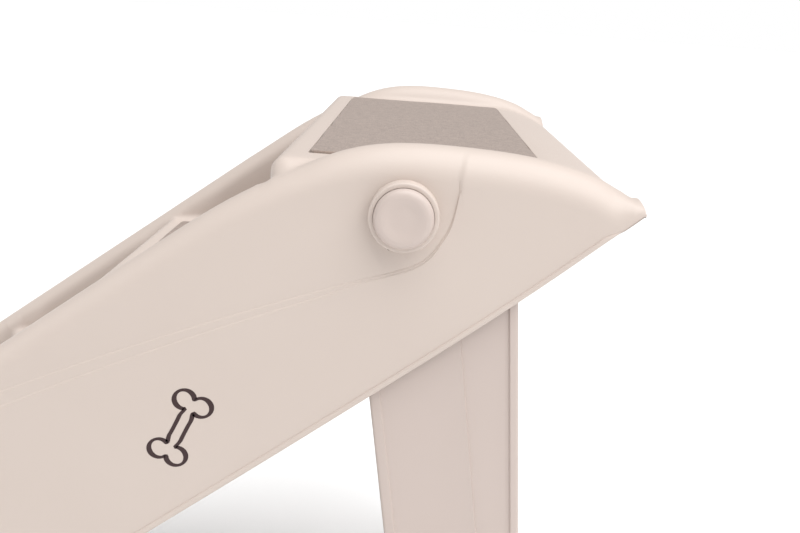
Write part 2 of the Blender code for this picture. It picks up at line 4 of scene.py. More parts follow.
import bmesh
import bpy
import numpy as np
from mathutils import Matrix, Vector


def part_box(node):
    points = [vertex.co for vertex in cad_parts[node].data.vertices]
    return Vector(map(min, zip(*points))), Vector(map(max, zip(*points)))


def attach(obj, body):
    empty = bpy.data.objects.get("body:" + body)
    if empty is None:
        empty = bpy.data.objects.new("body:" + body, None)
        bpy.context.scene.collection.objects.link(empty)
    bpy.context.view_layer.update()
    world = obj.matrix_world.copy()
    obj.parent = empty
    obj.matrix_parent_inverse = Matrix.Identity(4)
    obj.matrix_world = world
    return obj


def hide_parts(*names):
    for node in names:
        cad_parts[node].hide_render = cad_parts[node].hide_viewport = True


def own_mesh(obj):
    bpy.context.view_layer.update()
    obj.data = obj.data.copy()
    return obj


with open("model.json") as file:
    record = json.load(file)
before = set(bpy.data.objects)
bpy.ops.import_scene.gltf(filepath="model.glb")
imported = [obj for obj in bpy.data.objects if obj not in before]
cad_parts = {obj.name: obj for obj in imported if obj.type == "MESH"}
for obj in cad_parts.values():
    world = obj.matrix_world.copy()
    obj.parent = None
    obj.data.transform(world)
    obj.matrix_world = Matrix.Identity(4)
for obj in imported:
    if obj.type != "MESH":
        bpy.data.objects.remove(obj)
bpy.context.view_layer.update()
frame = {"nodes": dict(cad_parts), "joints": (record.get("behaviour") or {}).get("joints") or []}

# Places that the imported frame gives
pads = [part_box(f"tread_pad_{step}") for step in range(1, 5)]
deckLow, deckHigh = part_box("step_deck")
railLow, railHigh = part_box("side_rail_left")
pivot = Vector(next(joint["pos_m"] for joint in frame["joints"] if joint["name"] == "leg_fold"))
rise = pads[1][0].z - pads[0][0].z
run = pads[1][0].x - pads[0][0].x
innerY, outerY = railLow.y, railHigh.y
midY = (innerY + outerY) / 2
frontX, rearX = railLow.x, railHigh.x
print("frame loaded, step rise and run in mm:", round(rise * 1000, 1), round(run * 1000, 1))


def toLinear(hexCode):
    parts = [int(hexCode[i:i + 2], 16) / 255 for i in (1, 3, 5)]
    return [c / 12.92 if c <= 0.04045 else ((c + 0.055) / 1.055) ** 2.4 for c in parts] + [1.0]


def addNode(tree, kind, settings=None, links=None):
    node = tree.nodes.new(kind)
    for name, value in (settings or {}).items():
        if isinstance(name, str) and hasattr(node, name):
            setattr(node, name, value)
        else:
            node.inputs[name].default_value = value
    for name, source in (links or {}).items():
        tree.links.new(source, node.inputs[name])
    return node


def newMaterial(name, roughness, metallic=0.0, **sockets):
    made = bpy.data.materials.new(name)
    made.use_nodes = True
    shader = made.node_tree.nodes["Principled BSDF"]
    shader.inputs["Roughness"].default_value = roughness
    shader.inputs["Metallic"].default_value = metallic
    for socket, value in sockets.items():
        shader.inputs[socket.replace("_", " ")].default_value = value
    return made, made.node_tree, shader


def mixColours(tree, factor, first, second):
    mix = addNode(tree, "ShaderNodeMix", {"data_type": "RGBA", 6: toLinear(first), 7: toLinear(second)})
    tree.links.new(factor, mix.inputs[0])
    return mix.outputs[2]


# Polypropylene, injection moulded: a satin skin with a faint spark-eroded grain and soft flow clouds
mouldedPlastic = {
    "grainMm": 1.1,        # drawn coarser than the real 0.2 mm texture, so that it shows
    "cloudMm": 90,
    "grainDepth": 0.00002,
    "roughness": 0.46,
}


def polypropylene(name, main, cloud):
    made, tree, shader = newMaterial(name, mouldedPlastic["roughness"], IOR=1.49)
    place = addNode(tree, "ShaderNodeTexCoord").outputs["Object"]
    clouds = addNode(tree, "ShaderNodeTexNoise", {"Scale": 1000 / mouldedPlastic["cloudMm"], "Detail": 3.0},
                     {"Vector": place})
    grain = addNode(tree, "ShaderNodeTexNoise", {"Scale": 1000 / mouldedPlastic["grainMm"], "Detail": 2.0},
                    {"Vector": place})
    tree.links.new(mixColours(tree, clouds.outputs["Fac"], main, cloud), shader.inputs["Base Color"])
    gloss = addNode(tree, "ShaderNodeMapRange", {"From Min": 0.35, "From Max": 0.65,
                                                 "To Min": mouldedPlastic["roughness"] - 0.05,
                                                 "To Max": mouldedPlastic["roughness"] + 0.06},
                    {"Value": grain.outputs["Fac"]})
    tree.links.new(gloss.outputs["Result"], shader.inputs["Roughness"])
    bump = addNode(tree, "ShaderNodeBump", {"Strength": 0.6, "Distance": mouldedPlastic["grainDepth"]},
                   {"Height": grain.outputs["Fac"]})
    tree.links.new(bump.outputs["Normal"], shader.inputs["Normal"])
    return made


bodyPlastic = polypropylene("moulded_polypropylene_body", "#cabdb4", "#c6b8af")
legPlastic = polypropylene("moulded_polypropylene_legs", "#c3b5ae", "#bfb0a8")
buttonPlastic = polypropylene("moulded_polypropylene_buttons", "#c4b6af", "#c0b1a9")


def meshObject(name, shape, material, smoothAngle=35):
    mesh = bpy.data.meshes.new(name)
    shape.to_mesh(mesh)
    shape.free()
    mesh.materials.append(material)
    mesh.shade_smooth()
    mesh.set_sharp_from_angle(angle=math.radians(smoothAngle))
    made = bpy.data.objects.new(name, mesh)
    bpy.context.scene.collection.objects.link(made)
    return made


def settle(made, smoothAngle=35):
    # the modifiers' result becomes the object's own mesh
    bpy.context.view_layer.update()
    graph = bpy.context.evaluated_depsgraph_get()
    mesh = bpy.data.meshes.new_from_object(made.evaluated_get(graph), depsgraph=graph)
    made.modifiers.clear()
    made.data = mesh
    mesh.shade_smooth()
    mesh.set_sharp_from_angle(angle=math.radians(smoothAngle))
    return made


def hangOn(made, body, slot, *nodes):
    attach(made, body)
    if nodes:
        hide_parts(*nodes)
    print("made", made.name, len(made.data.polygons), "faces")
    return made


# The moulded body: treads, risers, rims and side panels in one shell
body = {
    "noseRadius": 0.008,
    "cornerRadius": 0.012,
    "draft": 0.004,            # lean of each riser
    "slope": 0.753,            # rise of the rim for each metre forward
    "rimDepth": 0.016,         # upright depth of the half-round rim
    "frontRadius": 0.030,
    "sideFillet": 0.0092,      # hollow round between tread and side wall
    "platformFlat": 0.146,
    "rearDrop": 0.0125,
    "wall": 0.0026,
    "recess": 0.0011,          # bed of each tread pad
    "padGap": 0.0005,
    "styleStep": 0.0005,
    "styleEnd": 0.2200,        # where the styling step has climbed to the rim
    "styleLean": 0.0045,       # how much further back it is on top of the rim
    "beadOut": 0.0011,
    "tipLump": 0.0022,
    "tipLength": 0.002,
    "tipWall": 0.45,           # share of the wall that is left at the rear tip
    "tipSpread": 0.011,        # reach of the tip's lump to either side of the rim's middle
    "squareStart": 0.016,      # ahead of the rear end, where the rim's shoulder starts to grow square
    "squareOver": 0.014,
    "thinStart": 0.045,        # ahead of the rear end, where the side wall starts to thin
    "thinOver": 0.03,
    "thinSide": 0.004,
    "platformTurn": 0.075,     # length over which the rim turns upright beside the platform
    "rowGap": 0.003,           # between two rows of the platform
    "fineGap": 0.00125,        # and between those beside the hinge hole
    "fineReach": 0.035,
    "hole": 0.0145,
}
# top of the rim over the platform, as (forward of the rear end, below the highest point)
rimPoints = [(0.250, 0.0681), (0.1885, 0.0247), (0.146, 0.0045), (0.081, 0.0), (0.0259, 0.0081),
             (0.0059, 0.0175), (0.0, 0.0205)]
rimPoints = [(rearX - back, railHigh.z - down) for back, down in rimPoints]
# lower edge of the side panel, as (forward of the rear end, above the rail's foot)
edgePoints = [(0.5845, 0.0), (0.2374, 0.2688), (0.1388, 0.3455), (0.0523, 0.4149), (0.0, 0.4604)]
edgePoints = [(rearX - back, railLow.z + up) for back, up in edgePoints]
slopeAngle = math.atan(body["slope"])
outOfSlope = math.degrees(slopeAngle) + 90


def smoothHeight(points, x):
    slopes = [(b[1] - a[1]) / (b[0] - a[0]) for a, b in zip(points, points[1:])]
    tangents = [slopes[0]] + [(a + b) / 2 for a, b in zip(slopes, slopes[1:])] + [slopes[-1]]
    if x <= points[0][0]:
        return points[0][1] + slopes[0] * (x - points[0][0])
    i = next((k for k in range(len(slopes)) if x <= points[k + 1][0]), len(slopes) - 1)
    (x0, z0), (x1, z1) = points[i], points[i + 1]
    t = min((x - x0) / (x1 - x0), 1)
    return ((2 * t**3 - 3 * t**2 + 1) * z0 + (t**3 - 2 * t**2 + t) * (x1 - x0) * tangents[i]
            + (3 * t**2 - 2 * t**3) * z1 + (t**3 - t**2) * (x1 - x0) * tangents[i + 1])


def rimHeight(x):
    if x >= rimPoints[0][0]:
        return smoothHeight(rimPoints, x)
    return body["slope"] * (x - rimPoints[0][0]) + rimPoints[0][1]


def edgeHeight(x):
    return railLow.z if x < edgePoints[0][0] else smoothHeight(edgePoints, x)


def rimDepthAt(x):
    return min(body["rimDepth"], max(rimHeight(x) - edgeHeight(x) - 0.001, 0.0015))


def arc(centre, radius, start, end, steps):
    angles = [math.radians(start + (end - start) * i / steps) for i in range(steps + 1)]
    return [(centre[0] + radius * math.cos(a), centre[1] + radius * math.sin(a)) for a in angles]


def between(low, high, share):
    return low + (high - low) * share


def ease(share):
    share = min(max(share, 0.0), 1.0)
    return share * share * (3 - 2 * share)


def baseLine():
    # line under the half-round rim: up the front, round the corner, along the slope and over the platform
    depth = body["rimDepth"] * math.cos(slopeAngle)
    centreX = frontX + body["frontRadius"]
    centreZ = rimHeight(centreX) - body["frontRadius"] / math.cos(slopeAngle)
    front = [(frontX + depth, between(railLow.z - 0.002, centreZ, i / 20)) for i in range(20)]
    corner = arc((centreX, centreZ), body["frontRadius"] - depth, 180, outOfSlope, 10)
    along = np.linspace(corner[-1][0] + 0.002, rearX + 0.001, 260)
    return front + corner + [(x, rimHeight(x) - rimDepthAt(x)) for x in along]


def deckRows():
    # (x, z, direction towards the rim in degrees) along the body's middle, from the floor to the rear edge
    rows = []
    nose, corner = body["noseRadius"], body["cornerRadius"]
    for step in range(1, 5):
        x = deckLow.x + run * (step - 1)
        top = rise * step
        out = 180 if step == 1 else outOfSlope
        if step == 1:
            foot = (x, railLow.z)
        else:
            foot = (x - body["draft"], top - rise + corner)
        rows += [(between(foot[0], x, i / 8), between(foot[1], top - nose, i / 8), out) for i in range(8)]
        for i, (px, pz) in enumerate(arc((x + nose, top - nose), nose, 180, 90, 8)):
            rows.append((px, pz, between(out, outOfSlope, i / 8)))
        front, rear = pads[step - 1][0].x - body["padGap"], pads[step - 1][1].x + body["padGap"]
        if step < 4:
            end = x + run - body["draft"] - corner
            flat = [between(front + 0.003, rear - 0.003, i / 9) for i in range(10)]
            places = [between(x + nose, front, 0.5), front - 0.0003, front + 0.0001]
            places += [*flat, rear - 0.0001, rear + 0.0003]
            rows += [(px, top, outOfSlope) for px in places if px < end]
            rows += [(px, pz, outOfSlope) for px, pz in arc((end, top + corner), corner, -90, 0, 8)][:-1]
        else:
            places = [between(x + nose, front, 0.5), front - 0.0003, front + 0.0001]
            start = front + body["rowGap"]
            while start < rear - 0.001:
                places.append(start)
                nearHole = pivot.x - body["fineReach"] < start < pivot.x + body["fineReach"]
                start += body["fineGap"] if nearHole else body["rowGap"]
            places += [rear - 0.0001, rear + 0.0003]
            start = rear + body["rowGap"]
            while start < rearX - 0.0012:
                places.append(start)
                start += body["rowGap"]
            places.append(rearX - 0.0008)
            flatEnd = x + body["platformFlat"]
            for px in places:
                drop = body["rearDrop"] * (max(px - flatEnd, 0) / (rearX - flatEnd)) ** 1.5
                turn = ease((px - x - nose) / body["platformTurn"])
                rows.append((px, top - drop, between(outOfSlope, 90, turn)))
    return rows


def reachOfRim(x, z, out, line):
    # signed distance from a deck point to the rim's base line along the row's direction
    direction = np.array([math.cos(math.radians(out)), math.sin(math.radians(out))])
    across = np.array([-direction[1], direction[0]])
    away = line - np.array([x, z])
    side = away @ across
    along = away @ direction
    best = None
    for i in np.nonzero(np.sign(side[:-1]) != np.sign(side[1:]))[0]:
        share = side[i] / (side[i] - side[i + 1])
        reach = between(along[i], along[i + 1], share)
        if best is None or abs(reach) < abs(best):
            best = reach
    return direction, best


def bend(p0, p1, p2, p3, steps):
    t = np.linspace(0, 1, steps + 1)[:, None]
    p0, p1, p2, p3 = map(np.array, (p0, p1, p2, p3))
    return (1 - t)**3 * p0 + 3 * (1 - t)**2 * t * p1 + 3 * (1 - t) * t**2 * p2 + t**3 * p3


def rimPoint(base, depth, turn):
    half = (outerY - innerY) / 2
    return np.array([midY - half * math.cos(turn), base + depth * math.sin(turn)])


def rimNormal(depth, turn):
    half = (outerY - innerY) / 2
    normal = np.array([-math.cos(turn) / half, math.sin(turn) / depth])
    return normal / np.linalg.norm(normal)


def touchOf(base, depth, radius):
    # where a hollow round of that radius, lying on the deck, touches the rim
    low, high = 0.0, math.pi / 2
    for _ in range(40):
        turn = (low + high) / 2
        if rimPoint(base, depth, turn)[1] + radius * rimNormal(depth, turn)[1] < radius:
            low = turn
        else:
            high = turn
    return (low + high) / 2


def rimStretch(turn, base, depth, wallStart, count):
    # points from the end of the hollow round, up the wall and over the rim to its outer base
    over = [rimPoint(base, depth, between(turn, math.pi, i / 60)) for i in range(61)]
    line = np.array(([wallStart] if wallStart is not None else []) + over)
    length = np.concatenate([[0], np.cumsum(np.linalg.norm(np.diff(line, axis=0), axis=1))])
    wallShare = max(length[1] if wallStart is not None else 0, length[-1] * 0.28)
    wallCount = 8
    places = np.concatenate([np.linspace(0, wallShare, wallCount + 1),
                             np.linspace(wallShare, length[-1], count - wallCount + 1)[1:]])
    return np.column_stack([np.interp(places, length, line[:, axis]) for axis in (0, 1)])[1:]


def acrossDeck(base, depth):
    # section from the middle of the deck to the rim's outer base, as (y, height over the deck)
    radius = body["sideFillet"]
    limitTurn = math.radians(65)
    limit = radius - depth * math.sin(limitTurn) - radius * rimNormal(depth, limitTurn)[1]
    wallStart = None
    if base >= radius:
        turn, touch, heading = 0.0, np.array([innerY, radius]), np.array([0.0, 1.0])
        start, handles = innerY - radius, (radius * 0.5523, radius * 0.5523)
        wallStart = touch
    else:
        turn = touchOf(max(base, limit), depth, radius)
        normal = rimNormal(depth, turn)
        touch = rimPoint(max(base, limit), depth, turn)
        heading = np.array([normal[1], -normal[0]])
        start = touch[0] + radius * normal[0]
        handle = 4 / 3 * math.tan(math.atan2(heading[1], heading[0]) / 4) * radius
        handles = (handle, handle)
        if base < limit:
            below = (limit - base) * 1000
            width = touch[0] - start + 0.0012 * below
            turn = turn + math.radians(4) * below
            normal = rimNormal(depth, turn)
            touch = rimPoint(base, depth, turn)
            heading = np.array([normal[1], -normal[0]])
            start = touch[0] - width
            share = ease(below / 3)
            handles = (between(handle, 0.46 * width, share), between(handle, 0.38 * width, share))
    padSide = pads[0][1].y + body["padGap"]
    flat = [(y, 0.0) for y in (0, 0.05, 0.10, 0.14, padSide - 0.0001, padSide + 0.0003)]
    turned = bend((start, 0), (start + handles[0], 0), touch - handles[1] * heading, touch, 8)
    return np.vstack([flat, turned, rimStretch(turn, base, depth, wallStart, 28)])


# upper styling step from the side panel, round the button and up to the rim, as offsets from the hinge
stylePoints = [(-0.0478, -0.0449), (-0.0286, -0.0378), (-0.0190, -0.0344), (-0.0013, -0.0282),
               (0.0075, -0.0244), (0.0141, -0.0191), (0.0192, -0.0109), (0.0228, -0.0030),
               (0.0245, 0.0050), (0.0259, 0.0163), (0.0276, 0.0257), (0.0282, 0.0312)]
stylePoints = [(pivot.x + x, pivot.z + z) for x, z in stylePoints]
styling = {
    "parting": 0.0026,         # gap between the upper and the lower step where they part
    "spread": 0.0304,          # growth of that gap for each metre forward
    "partStart": 0.0238,       # ahead of the hinge
    "fadeStart": 0.006,        # ahead of the hinge, where the gap starts to open
    "fadeOver": 0.030,
    "fall": 0.37,              # slope forward of the first point
    "bend": 0.33,              # and how it steepens
}


def stylingHeight(x, drop):
    # forward of its first point the step sinks away from the slope and parts in two
    first = stylePoints[0]
    split = styling["parting"] + styling["spread"] * (pivot.x - styling["partStart"] - x)
    split *= ease((pivot.x - styling["fadeStart"] - x) / styling["fadeOver"])
    if x < first[0]:
        back = first[0] - x
        return first[1] - styling["fall"] * back - styling["bend"] * back**2 - drop * split
    return smoothHeight(stylePoints, x) - drop * max(split, 0)


def crossing(first, second, drop):
    # share of the way down a panel row at which it passes a styling step; 0 where it never does
    def above(share):
        x, z = between(first[0], second[0], share), between(first[1], second[1], share)
        return z - stylingHeight(x, drop)
    if above(0) <= 0:
        return 0.0
    low, high = 0.0, 1.0
    for _ in range(30):
        middle = (low + high) / 2
        low, high = (middle, high) if above(middle) > 0 else (low, middle)
    return (low + high) / 2


panel = {
    "lead": 0.0672,            # how far a row leans back on its way down, at the front
    "ramp": 0.0004,            # half the width of a styling step
    "fullLength": 0.012,       # a shorter row draws in every measure below
    "topRoom": 0.003,          # least distance from the rim to the upper step
    "upperRoom": 0.009,        # and from each step to the lower edge
    "lowerRoom": 0.007,
    "beadStart": 0.0036,       # above the lower edge
    "beadRadius": 0.0017,
}


def panelRow(first, recessed):
    # side panel from the rim's outer base to its lower edge, as (x, y, z) points
    if first[0] < frontX + 0.045:
        u = first[0] * math.cos(slopeAngle) + first[1] * math.sin(slopeAngle)
        low, high = frontX, rearX
        for _ in range(40):
            x = (low + high) / 2
            if x * math.cos(slopeAngle) + edgeHeight(x) * math.sin(slopeAngle) < u:
                low = x
            else:
                high = x
        last = (max(low, first[0]), edgeHeight(max(low, first[0])))
    else:
        lead = panel["lead"] * (1 - ease((first[0] + 0.06) / (rearX + 0.06)))
        x = min(first[0] + lead, rearX)
        last = (x, edgeHeight(x))
    length = math.hypot(last[0] - first[0], last[1] - first[1])
    scale = min(1.0, length / panel["fullLength"])
    upper = crossing(first, last, 0) * length
    lower = crossing(first, last, 1) * length
    ramp = panel["ramp"]
    depth = body["styleStep"] * recessed
    upperDepth = depth * (1 if upper > 0.002 else 0)
    upper = min(max(upper, panel["topRoom"] * scale), length - panel["upperRoom"] * scale)
    lower = min(max(lower, upper + 3 * ramp * scale), length - panel["lowerRoom"] * scale)
    bead = body["beadOut"] * scale
    end = length - panel["beadStart"] * scale
    marks = [(upper * share, -2 * depth) for share in (0.25, 0.5, 0.75)]
    marks += [(upper - ramp * scale, -2 * upperDepth), (upper + ramp * scale, -upperDepth)]
    marks += [(between(upper, lower, 0.5), -upperDepth)]
    marks += [(lower - ramp * scale, -upperDepth), (lower + ramp * scale, 0)]
    marks += [(between(lower, end, share), 0) for share in (0.2, 0.4, 0.6, 0.8, 0.97)]
    for i in range(7):
        angle = math.pi * i / 6
        marks.append((end + panel["beadRadius"] * scale * (1 - math.cos(angle)), bead * math.sin(angle)))
    marks.append((length, -0.0004))
    return [(between(first[0], last[0], along / max(length, 1e-9)), outerY + out,
             between(first[1], last[1], along / max(length, 1e-9))) for along, out in marks]


def halfRow(x, z, out, line):
    direction, base = reachOfRim(x, z, out, line)
    depth = body["rimDepth"] * max(direction[1], math.cos(slopeAngle))
    foot = x + direction[0] * base
    depth = min(depth, rimDepthAt(foot)) if foot > 0.25 else depth
    begun = ease((foot + 0.115) / 0.05)
    points = []
    inPad = any(low.x - body["padGap"] < x < high.x + body["padGap"] and z > rise * step - 0.002
                for step, (low, high) in enumerate(pads, 1))
    padSide = pads[0][1].y + body["padGap"]
    for y, height in acrossDeck(base, depth):
        # the outer half of the rim draws in with the recessed panel under it
        px, pz = x + direction[0] * height, z + direction[1] * height
        outward = min(max((y - midY) / (outerY - midY), 0), 1)
        end = body["styleEnd"] + body["styleLean"] * (1 - outward)
        drawnIn = ease(outward) * 2 * body["styleStep"] * begun * (1 - ease((px - end) / 0.0016))
        if inPad and y < padSide and height == 0.0:
            pz -= body["recess"]
        nearTip = ((px - rearX) / body["tipLength"])**2 + ((y - midY) / body["tipSpread"])**2
        pz += body["tipLump"] * math.exp(-nearTip)
        # towards the rear tip the rim's outer shoulder grows square
        square = math.sqrt(1 - outward**6) - math.sqrt(1 - outward**2)
        pz += depth * square * ease((px - rearX + body["squareStart"]) / body["squareOver"])
        points.append((px, y - drawnIn, pz))
    first = (x + direction[0] * base, z + direction[1] * base)
    ended = ease((foot - body["styleEnd"]) / 0.0016)
    return points + panelRow(first, begun * (1 - ended))


def rearRoll(last):
    # the last row rolls over into a short lip
    rows = []
    for dx, dz in ((0.0004, 0.0003), (0.0008, 0.0010), (0.0010, 0.0019), (0.0010, 0.0028)):
        row = []
        for x, y, z in last:
            lowest = min(z, edgeHeight(rearX) + 0.0003) if y > innerY else z - dz
            row.append((x + dx, y, max(z - dz, lowest)))
        rows.append(row)
    return rows


def makeBody():
    line = np.array(baseLine())
    half = [halfRow(x, z, out, line) for x, z, out in deckRows()]
    half += rearRoll(half[-1])
    half = np.array(half)
    half[..., 0] = np.clip(half[..., 0], frontX, rearX + 0.0006)
    other = half[:, :0:-1] * np.array([1, -1, 1])
    whole = np.concatenate([other, half], axis=1)
    rows, columns = whole.shape[:2]
    shape = bmesh.new()
    verts = [shape.verts.new(point) for point in whole.reshape(-1, 3)]
    panelStart = columns - 21
    for i in range(rows - 1):
        for j in range(columns - 1):
            corners = [verts[i * columns + j], verts[i * columns + j + 1],
                       verts[(i + 1) * columns + j + 1], verts[(i + 1) * columns + j]]
            middle = sum((v.co for v in corners), Vector()) / 4
            outside = j >= panelStart or j < columns - 1 - panelStart
            if outside and math.hypot(middle.x - pivot.x, middle.z - pivot.z) < body["hole"]:
                continue
            shape.faces.new(corners)
    for edge in shape.edges:
        if len(edge.link_faces) != 1:
            continue
        for vert in edge.verts:
            away = Vector((vert.co.x - pivot.x, vert.co.z - pivot.z))
            if abs(vert.co.y) > innerY and away.length < body["hole"] + 0.004:
                away *= body["hole"] / away.length
                vert.co.x, vert.co.z = pivot.x + away.x, pivot.z + away.y
    loose = [v for v in shape.verts if not v.link_faces]
    bmesh.ops.delete(shape, geom=loose, context="VERTS")
    bmesh.ops.remove_doubles(shape, verts=shape.verts, dist=2e-5)
    bmesh.ops.recalc_face_normals(shape, faces=shape.faces)
    upward = sum(face.normal.z * face.calc_area() for face in shape.faces)
    if upward < 0:
        bmesh.ops.reverse_faces(shape, faces=shape.faces)
    shell = meshObject("stair_body", shape, bodyPlastic, 32)
    thick = shell.modifiers.new("Wall", "SOLIDIFY")
    thick.thickness = body["wall"]
    thick.offset = -1
    share = shell.vertex_groups.new(name="wall_share")
    for vert in shell.data.vertices:
        thin = ease((vert.co.x - rearX + body["thinStart"]) / body["thinOver"])
        thin *= ease((abs(vert.co.y) - innerY) / body["thinSide"])
        share.add([vert.index], 1 - (1 - body["tipWall"]) * thin, "REPLACE")
    thick.vertex_group = share.name
    return settle(shell, 32)


stairBody = makeBody()
hangOn(stairBody, "stairs", "body_plastic", "step_deck", "side_rail_left", "side_rail_right")


def prism(outline, lowY, highY):
    shape = bmesh.new()
    face = shape.faces.new([shape.verts.new((x, lowY, z)) for x, z in outline])
    grown = bmesh.ops.extrude_face_region(shape, geom=[face])
    moved = [item for item in grown["geom"] if isinstance(item, bmesh.types.BMVert)]
    bmesh.ops.translate(shape, verts=moved, vec=(0, highY - lowY, 0))
    bmesh.ops.recalc_face_normals(shape, faces=shape.faces)
    return shape


def softened(made, width, segments=2):
    edge = made.modifiers.new("Edges", "BEVEL")
    edge.width = width
    edge.segments = segments
    edge.limit_method = "ANGLE"
    edge.angle_limit = math.radians(40)
    return settle(made)


def bored(made, radius, lowY, highY):
    # a round hole on the hinge axis
    steps = 64
    angles = [2 * math.pi * i / steps for i in range(steps)]
    circle = [(pivot.x + radius * math.cos(a), pivot.z + radius * math.sin(a)) for a in angles]
    drill = meshObject("drill", prism(circle, lowY, highY), bodyPlastic)
    cut = made.modifiers.new("Bore", "BOOLEAN")
    cut.object = drill
    settle(made)
    bpy.data.objects.remove(drill)
    return made


def joined(name, pieces):
    # several meshes as one piece
    shape = bmesh.new()
    for piece in pieces:
        shape.from_mesh(piece.data)
    material = pieces[0].data.materials[0]
    for piece in pieces:
        bpy.data.objects.remove(piece)
    return meshObject(name, shape, material)


def tangentPoint(point, radius, turn):
    away = Vector((point[0] - pivot.x, point[1] - pivot.z))
    angle = math.atan2(away.y, away.x) + turn * math.acos(radius / away.length)
    return pivot.x + radius * math.cos(angle), pivot.z + radius * math.sin(angle)


# The legs: moulded channels with a border strip and a crease on the outer face
leg = {
    "frontLean": 9.45,
    "rearLean": 6.25,
    "shoulder": 0.425,
    "heel": 0.432,
    "headRadius": 0.020,
    "edgeRound": 0.0016,
    "strip": 0.0055,           # raised border along the front edge
    "stripDepth": 0.0009,
    "crease": 0.0497,          # behind the front edge, and parallel to it
    "creaseDepth": 0.0014,
    "rearStrip": 0.0042,
    "pocketInset": 0.0035,
    "skin": 0.003,
    "bays": ((0.048, 0.196), (0.258, 0.364)),   # pockets, down the leg from the hinge
}
shoeLow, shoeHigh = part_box("leg_foot_left")
legLow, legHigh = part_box("leg_left")
shoeGrow = (shoeHigh.y - legHigh.y)
frontTan, rearTan = (math.tan(math.radians(leg[lean])) for lean in ("frontLean", "rearLean"))
footFront = shoeLow.x + shoeGrow + shoeHigh.z * frontTan
footRear = shoeHigh.x - shoeGrow
legLean = math.radians((leg["frontLean"] + leg["rearLean"]) / 2)


def legPoint(along, across):
    return (pivot.x + along * math.sin(legLean) + across * math.cos(legLean),
            pivot.z - along * math.cos(legLean) + across * math.sin(legLean))


def legSides(z):
    # front and rear edge of the leg at that height
    front, rear = footFront - z * frontTan, footRear - z * rearTan
    shoulder = (footFront - leg["shoulder"] * frontTan, leg["shoulder"])
    heel = (footRear - leg["heel"] * rearTan, leg["heel"])
    lower = tangentPoint(shoulder, leg["headRadius"], -1)
    upper = tangentPoint(heel, leg["headRadius"], 1)
    half = math.sqrt(max(leg["headRadius"]**2 - (z - pivot.z)**2, 0))
    if z > shoulder[1]:
        front = between(shoulder[0], lower[0], (z - shoulder[1]) / (lower[1] - shoulder[1]))
        front = pivot.x - half if z > lower[1] else front
    if z > heel[1]:
        rear = between(heel[0], upper[0], (z - heel[1]) / (upper[1] - heel[1]))
        rear = pivot.x + half if z > upper[1] else rear
    return front, rear


def legRing(z, side, inBay):
    front, rear = legSides(z)
    width = rear - front
    small = min(1.0, width / 0.045)
    edge, strip, back = (leg[name] * small for name in ("edgeRound", "strip", "rearStrip"))
    crease = min(leg["crease"], width - back - 0.0025 * small)
    field, deep = leg["stripDepth"] * small, leg["creaseDepth"] * small
    low, high = legLow.y, legHigh.y

    def corner(x, y, start):
        angles = [math.radians(start - 30 * i) for i in range(4)]
        return [(x + edge * math.cos(a), y + edge * math.sin(a)) for a in angles]
    outer = [(strip, 0), (strip + 0.0007, field), ((strip + crease) / 2, field),
             (crease - 0.003, field * 0.8), (crease, field * 0.35), (crease + 0.0006, deep),
             (width - back - 0.0007, deep), (width - back, 0)]
    inset = leg["pocketInset"] * small
    depth = high - leg["skin"] - low if inBay else 0
    inner = [(width - inset, 0), (width - inset - 0.0008, depth), (inset + 0.0008, depth), (inset, 0)]
    ring = corner(front + edge, low + edge, 270) + corner(front + edge, high - edge, 180)
    ring += [(front + x, high - down) for x, down in outer]
    ring += corner(rear - edge, high - edge, 90) + corner(rear - edge, low + edge, 0)
    ring += [(front + x, low + down) for x, down in inner]
    return [(x, side * y, z) for x, y in ring]


def loft(rings, name, material, smoothAngle=35):
    shape = bmesh.new()
    rows = [[shape.verts.new(point) for point in ring] for ring in rings]
    for first, second in zip(rows, rows[1:]):
        for i in range(len(first)):
            j = (i + 1) % len(first)
            shape.faces.new((first[i], first[j], second[j], second[i]))
    shape.faces.new(rows[0])
    shape.faces.new(rows[-1])
    bmesh.ops.remove_doubles(shape, verts=shape.verts, dist=1e-6)
    bmesh.ops.recalc_face_normals(shape, faces=shape.faces)
    return meshObject(name, shape, material, smoothAngle)


def makeLeg(name, side):
    places = [(legLow.z + 0.0001, False)]
    top = leg["headRadius"] + pivot.z - 0.0004
    bays = sorted((legPoint(end, 0)[1], legPoint(start, 0)[1]) for start, end in leg["bays"])
    walls = [legLow.z] + [z for bay in bays for z in bay]
    for i, z in enumerate(walls[1:]):
        inBay = i % 2 == 1
        start = walls[i]
        places += [(between(start, z, share), inBay) for share in (0.25, 0.5, 0.75)]
        places += [(z - 0.0005, inBay), (z + 0.0005, not inBay)]
    places += [(between(walls[-1], 0.424, share), False) for share in (0.4, 0.8)]
    places += [(between(0.425, top, i / 18), False) for i in range(19)]
    made = loft([legRing(z, side, inBay) for z, inBay in places], name, legPlastic)
    sleeve = (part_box("retaining_ring_left")[1].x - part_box("retaining_ring_left")[0].x) / 2 - 0.0026
    return bored(made, sleeve, *sorted((side * (legLow.y - 0.01), side * (legHigh.y + 0.01))))


for sideName, side in (("left", 1), ("right", -1)):
    hangOn(makeLeg(f"leg_channel_{sideName}", side), "leg_frame", "leg_plastic", f"leg_{sideName}")


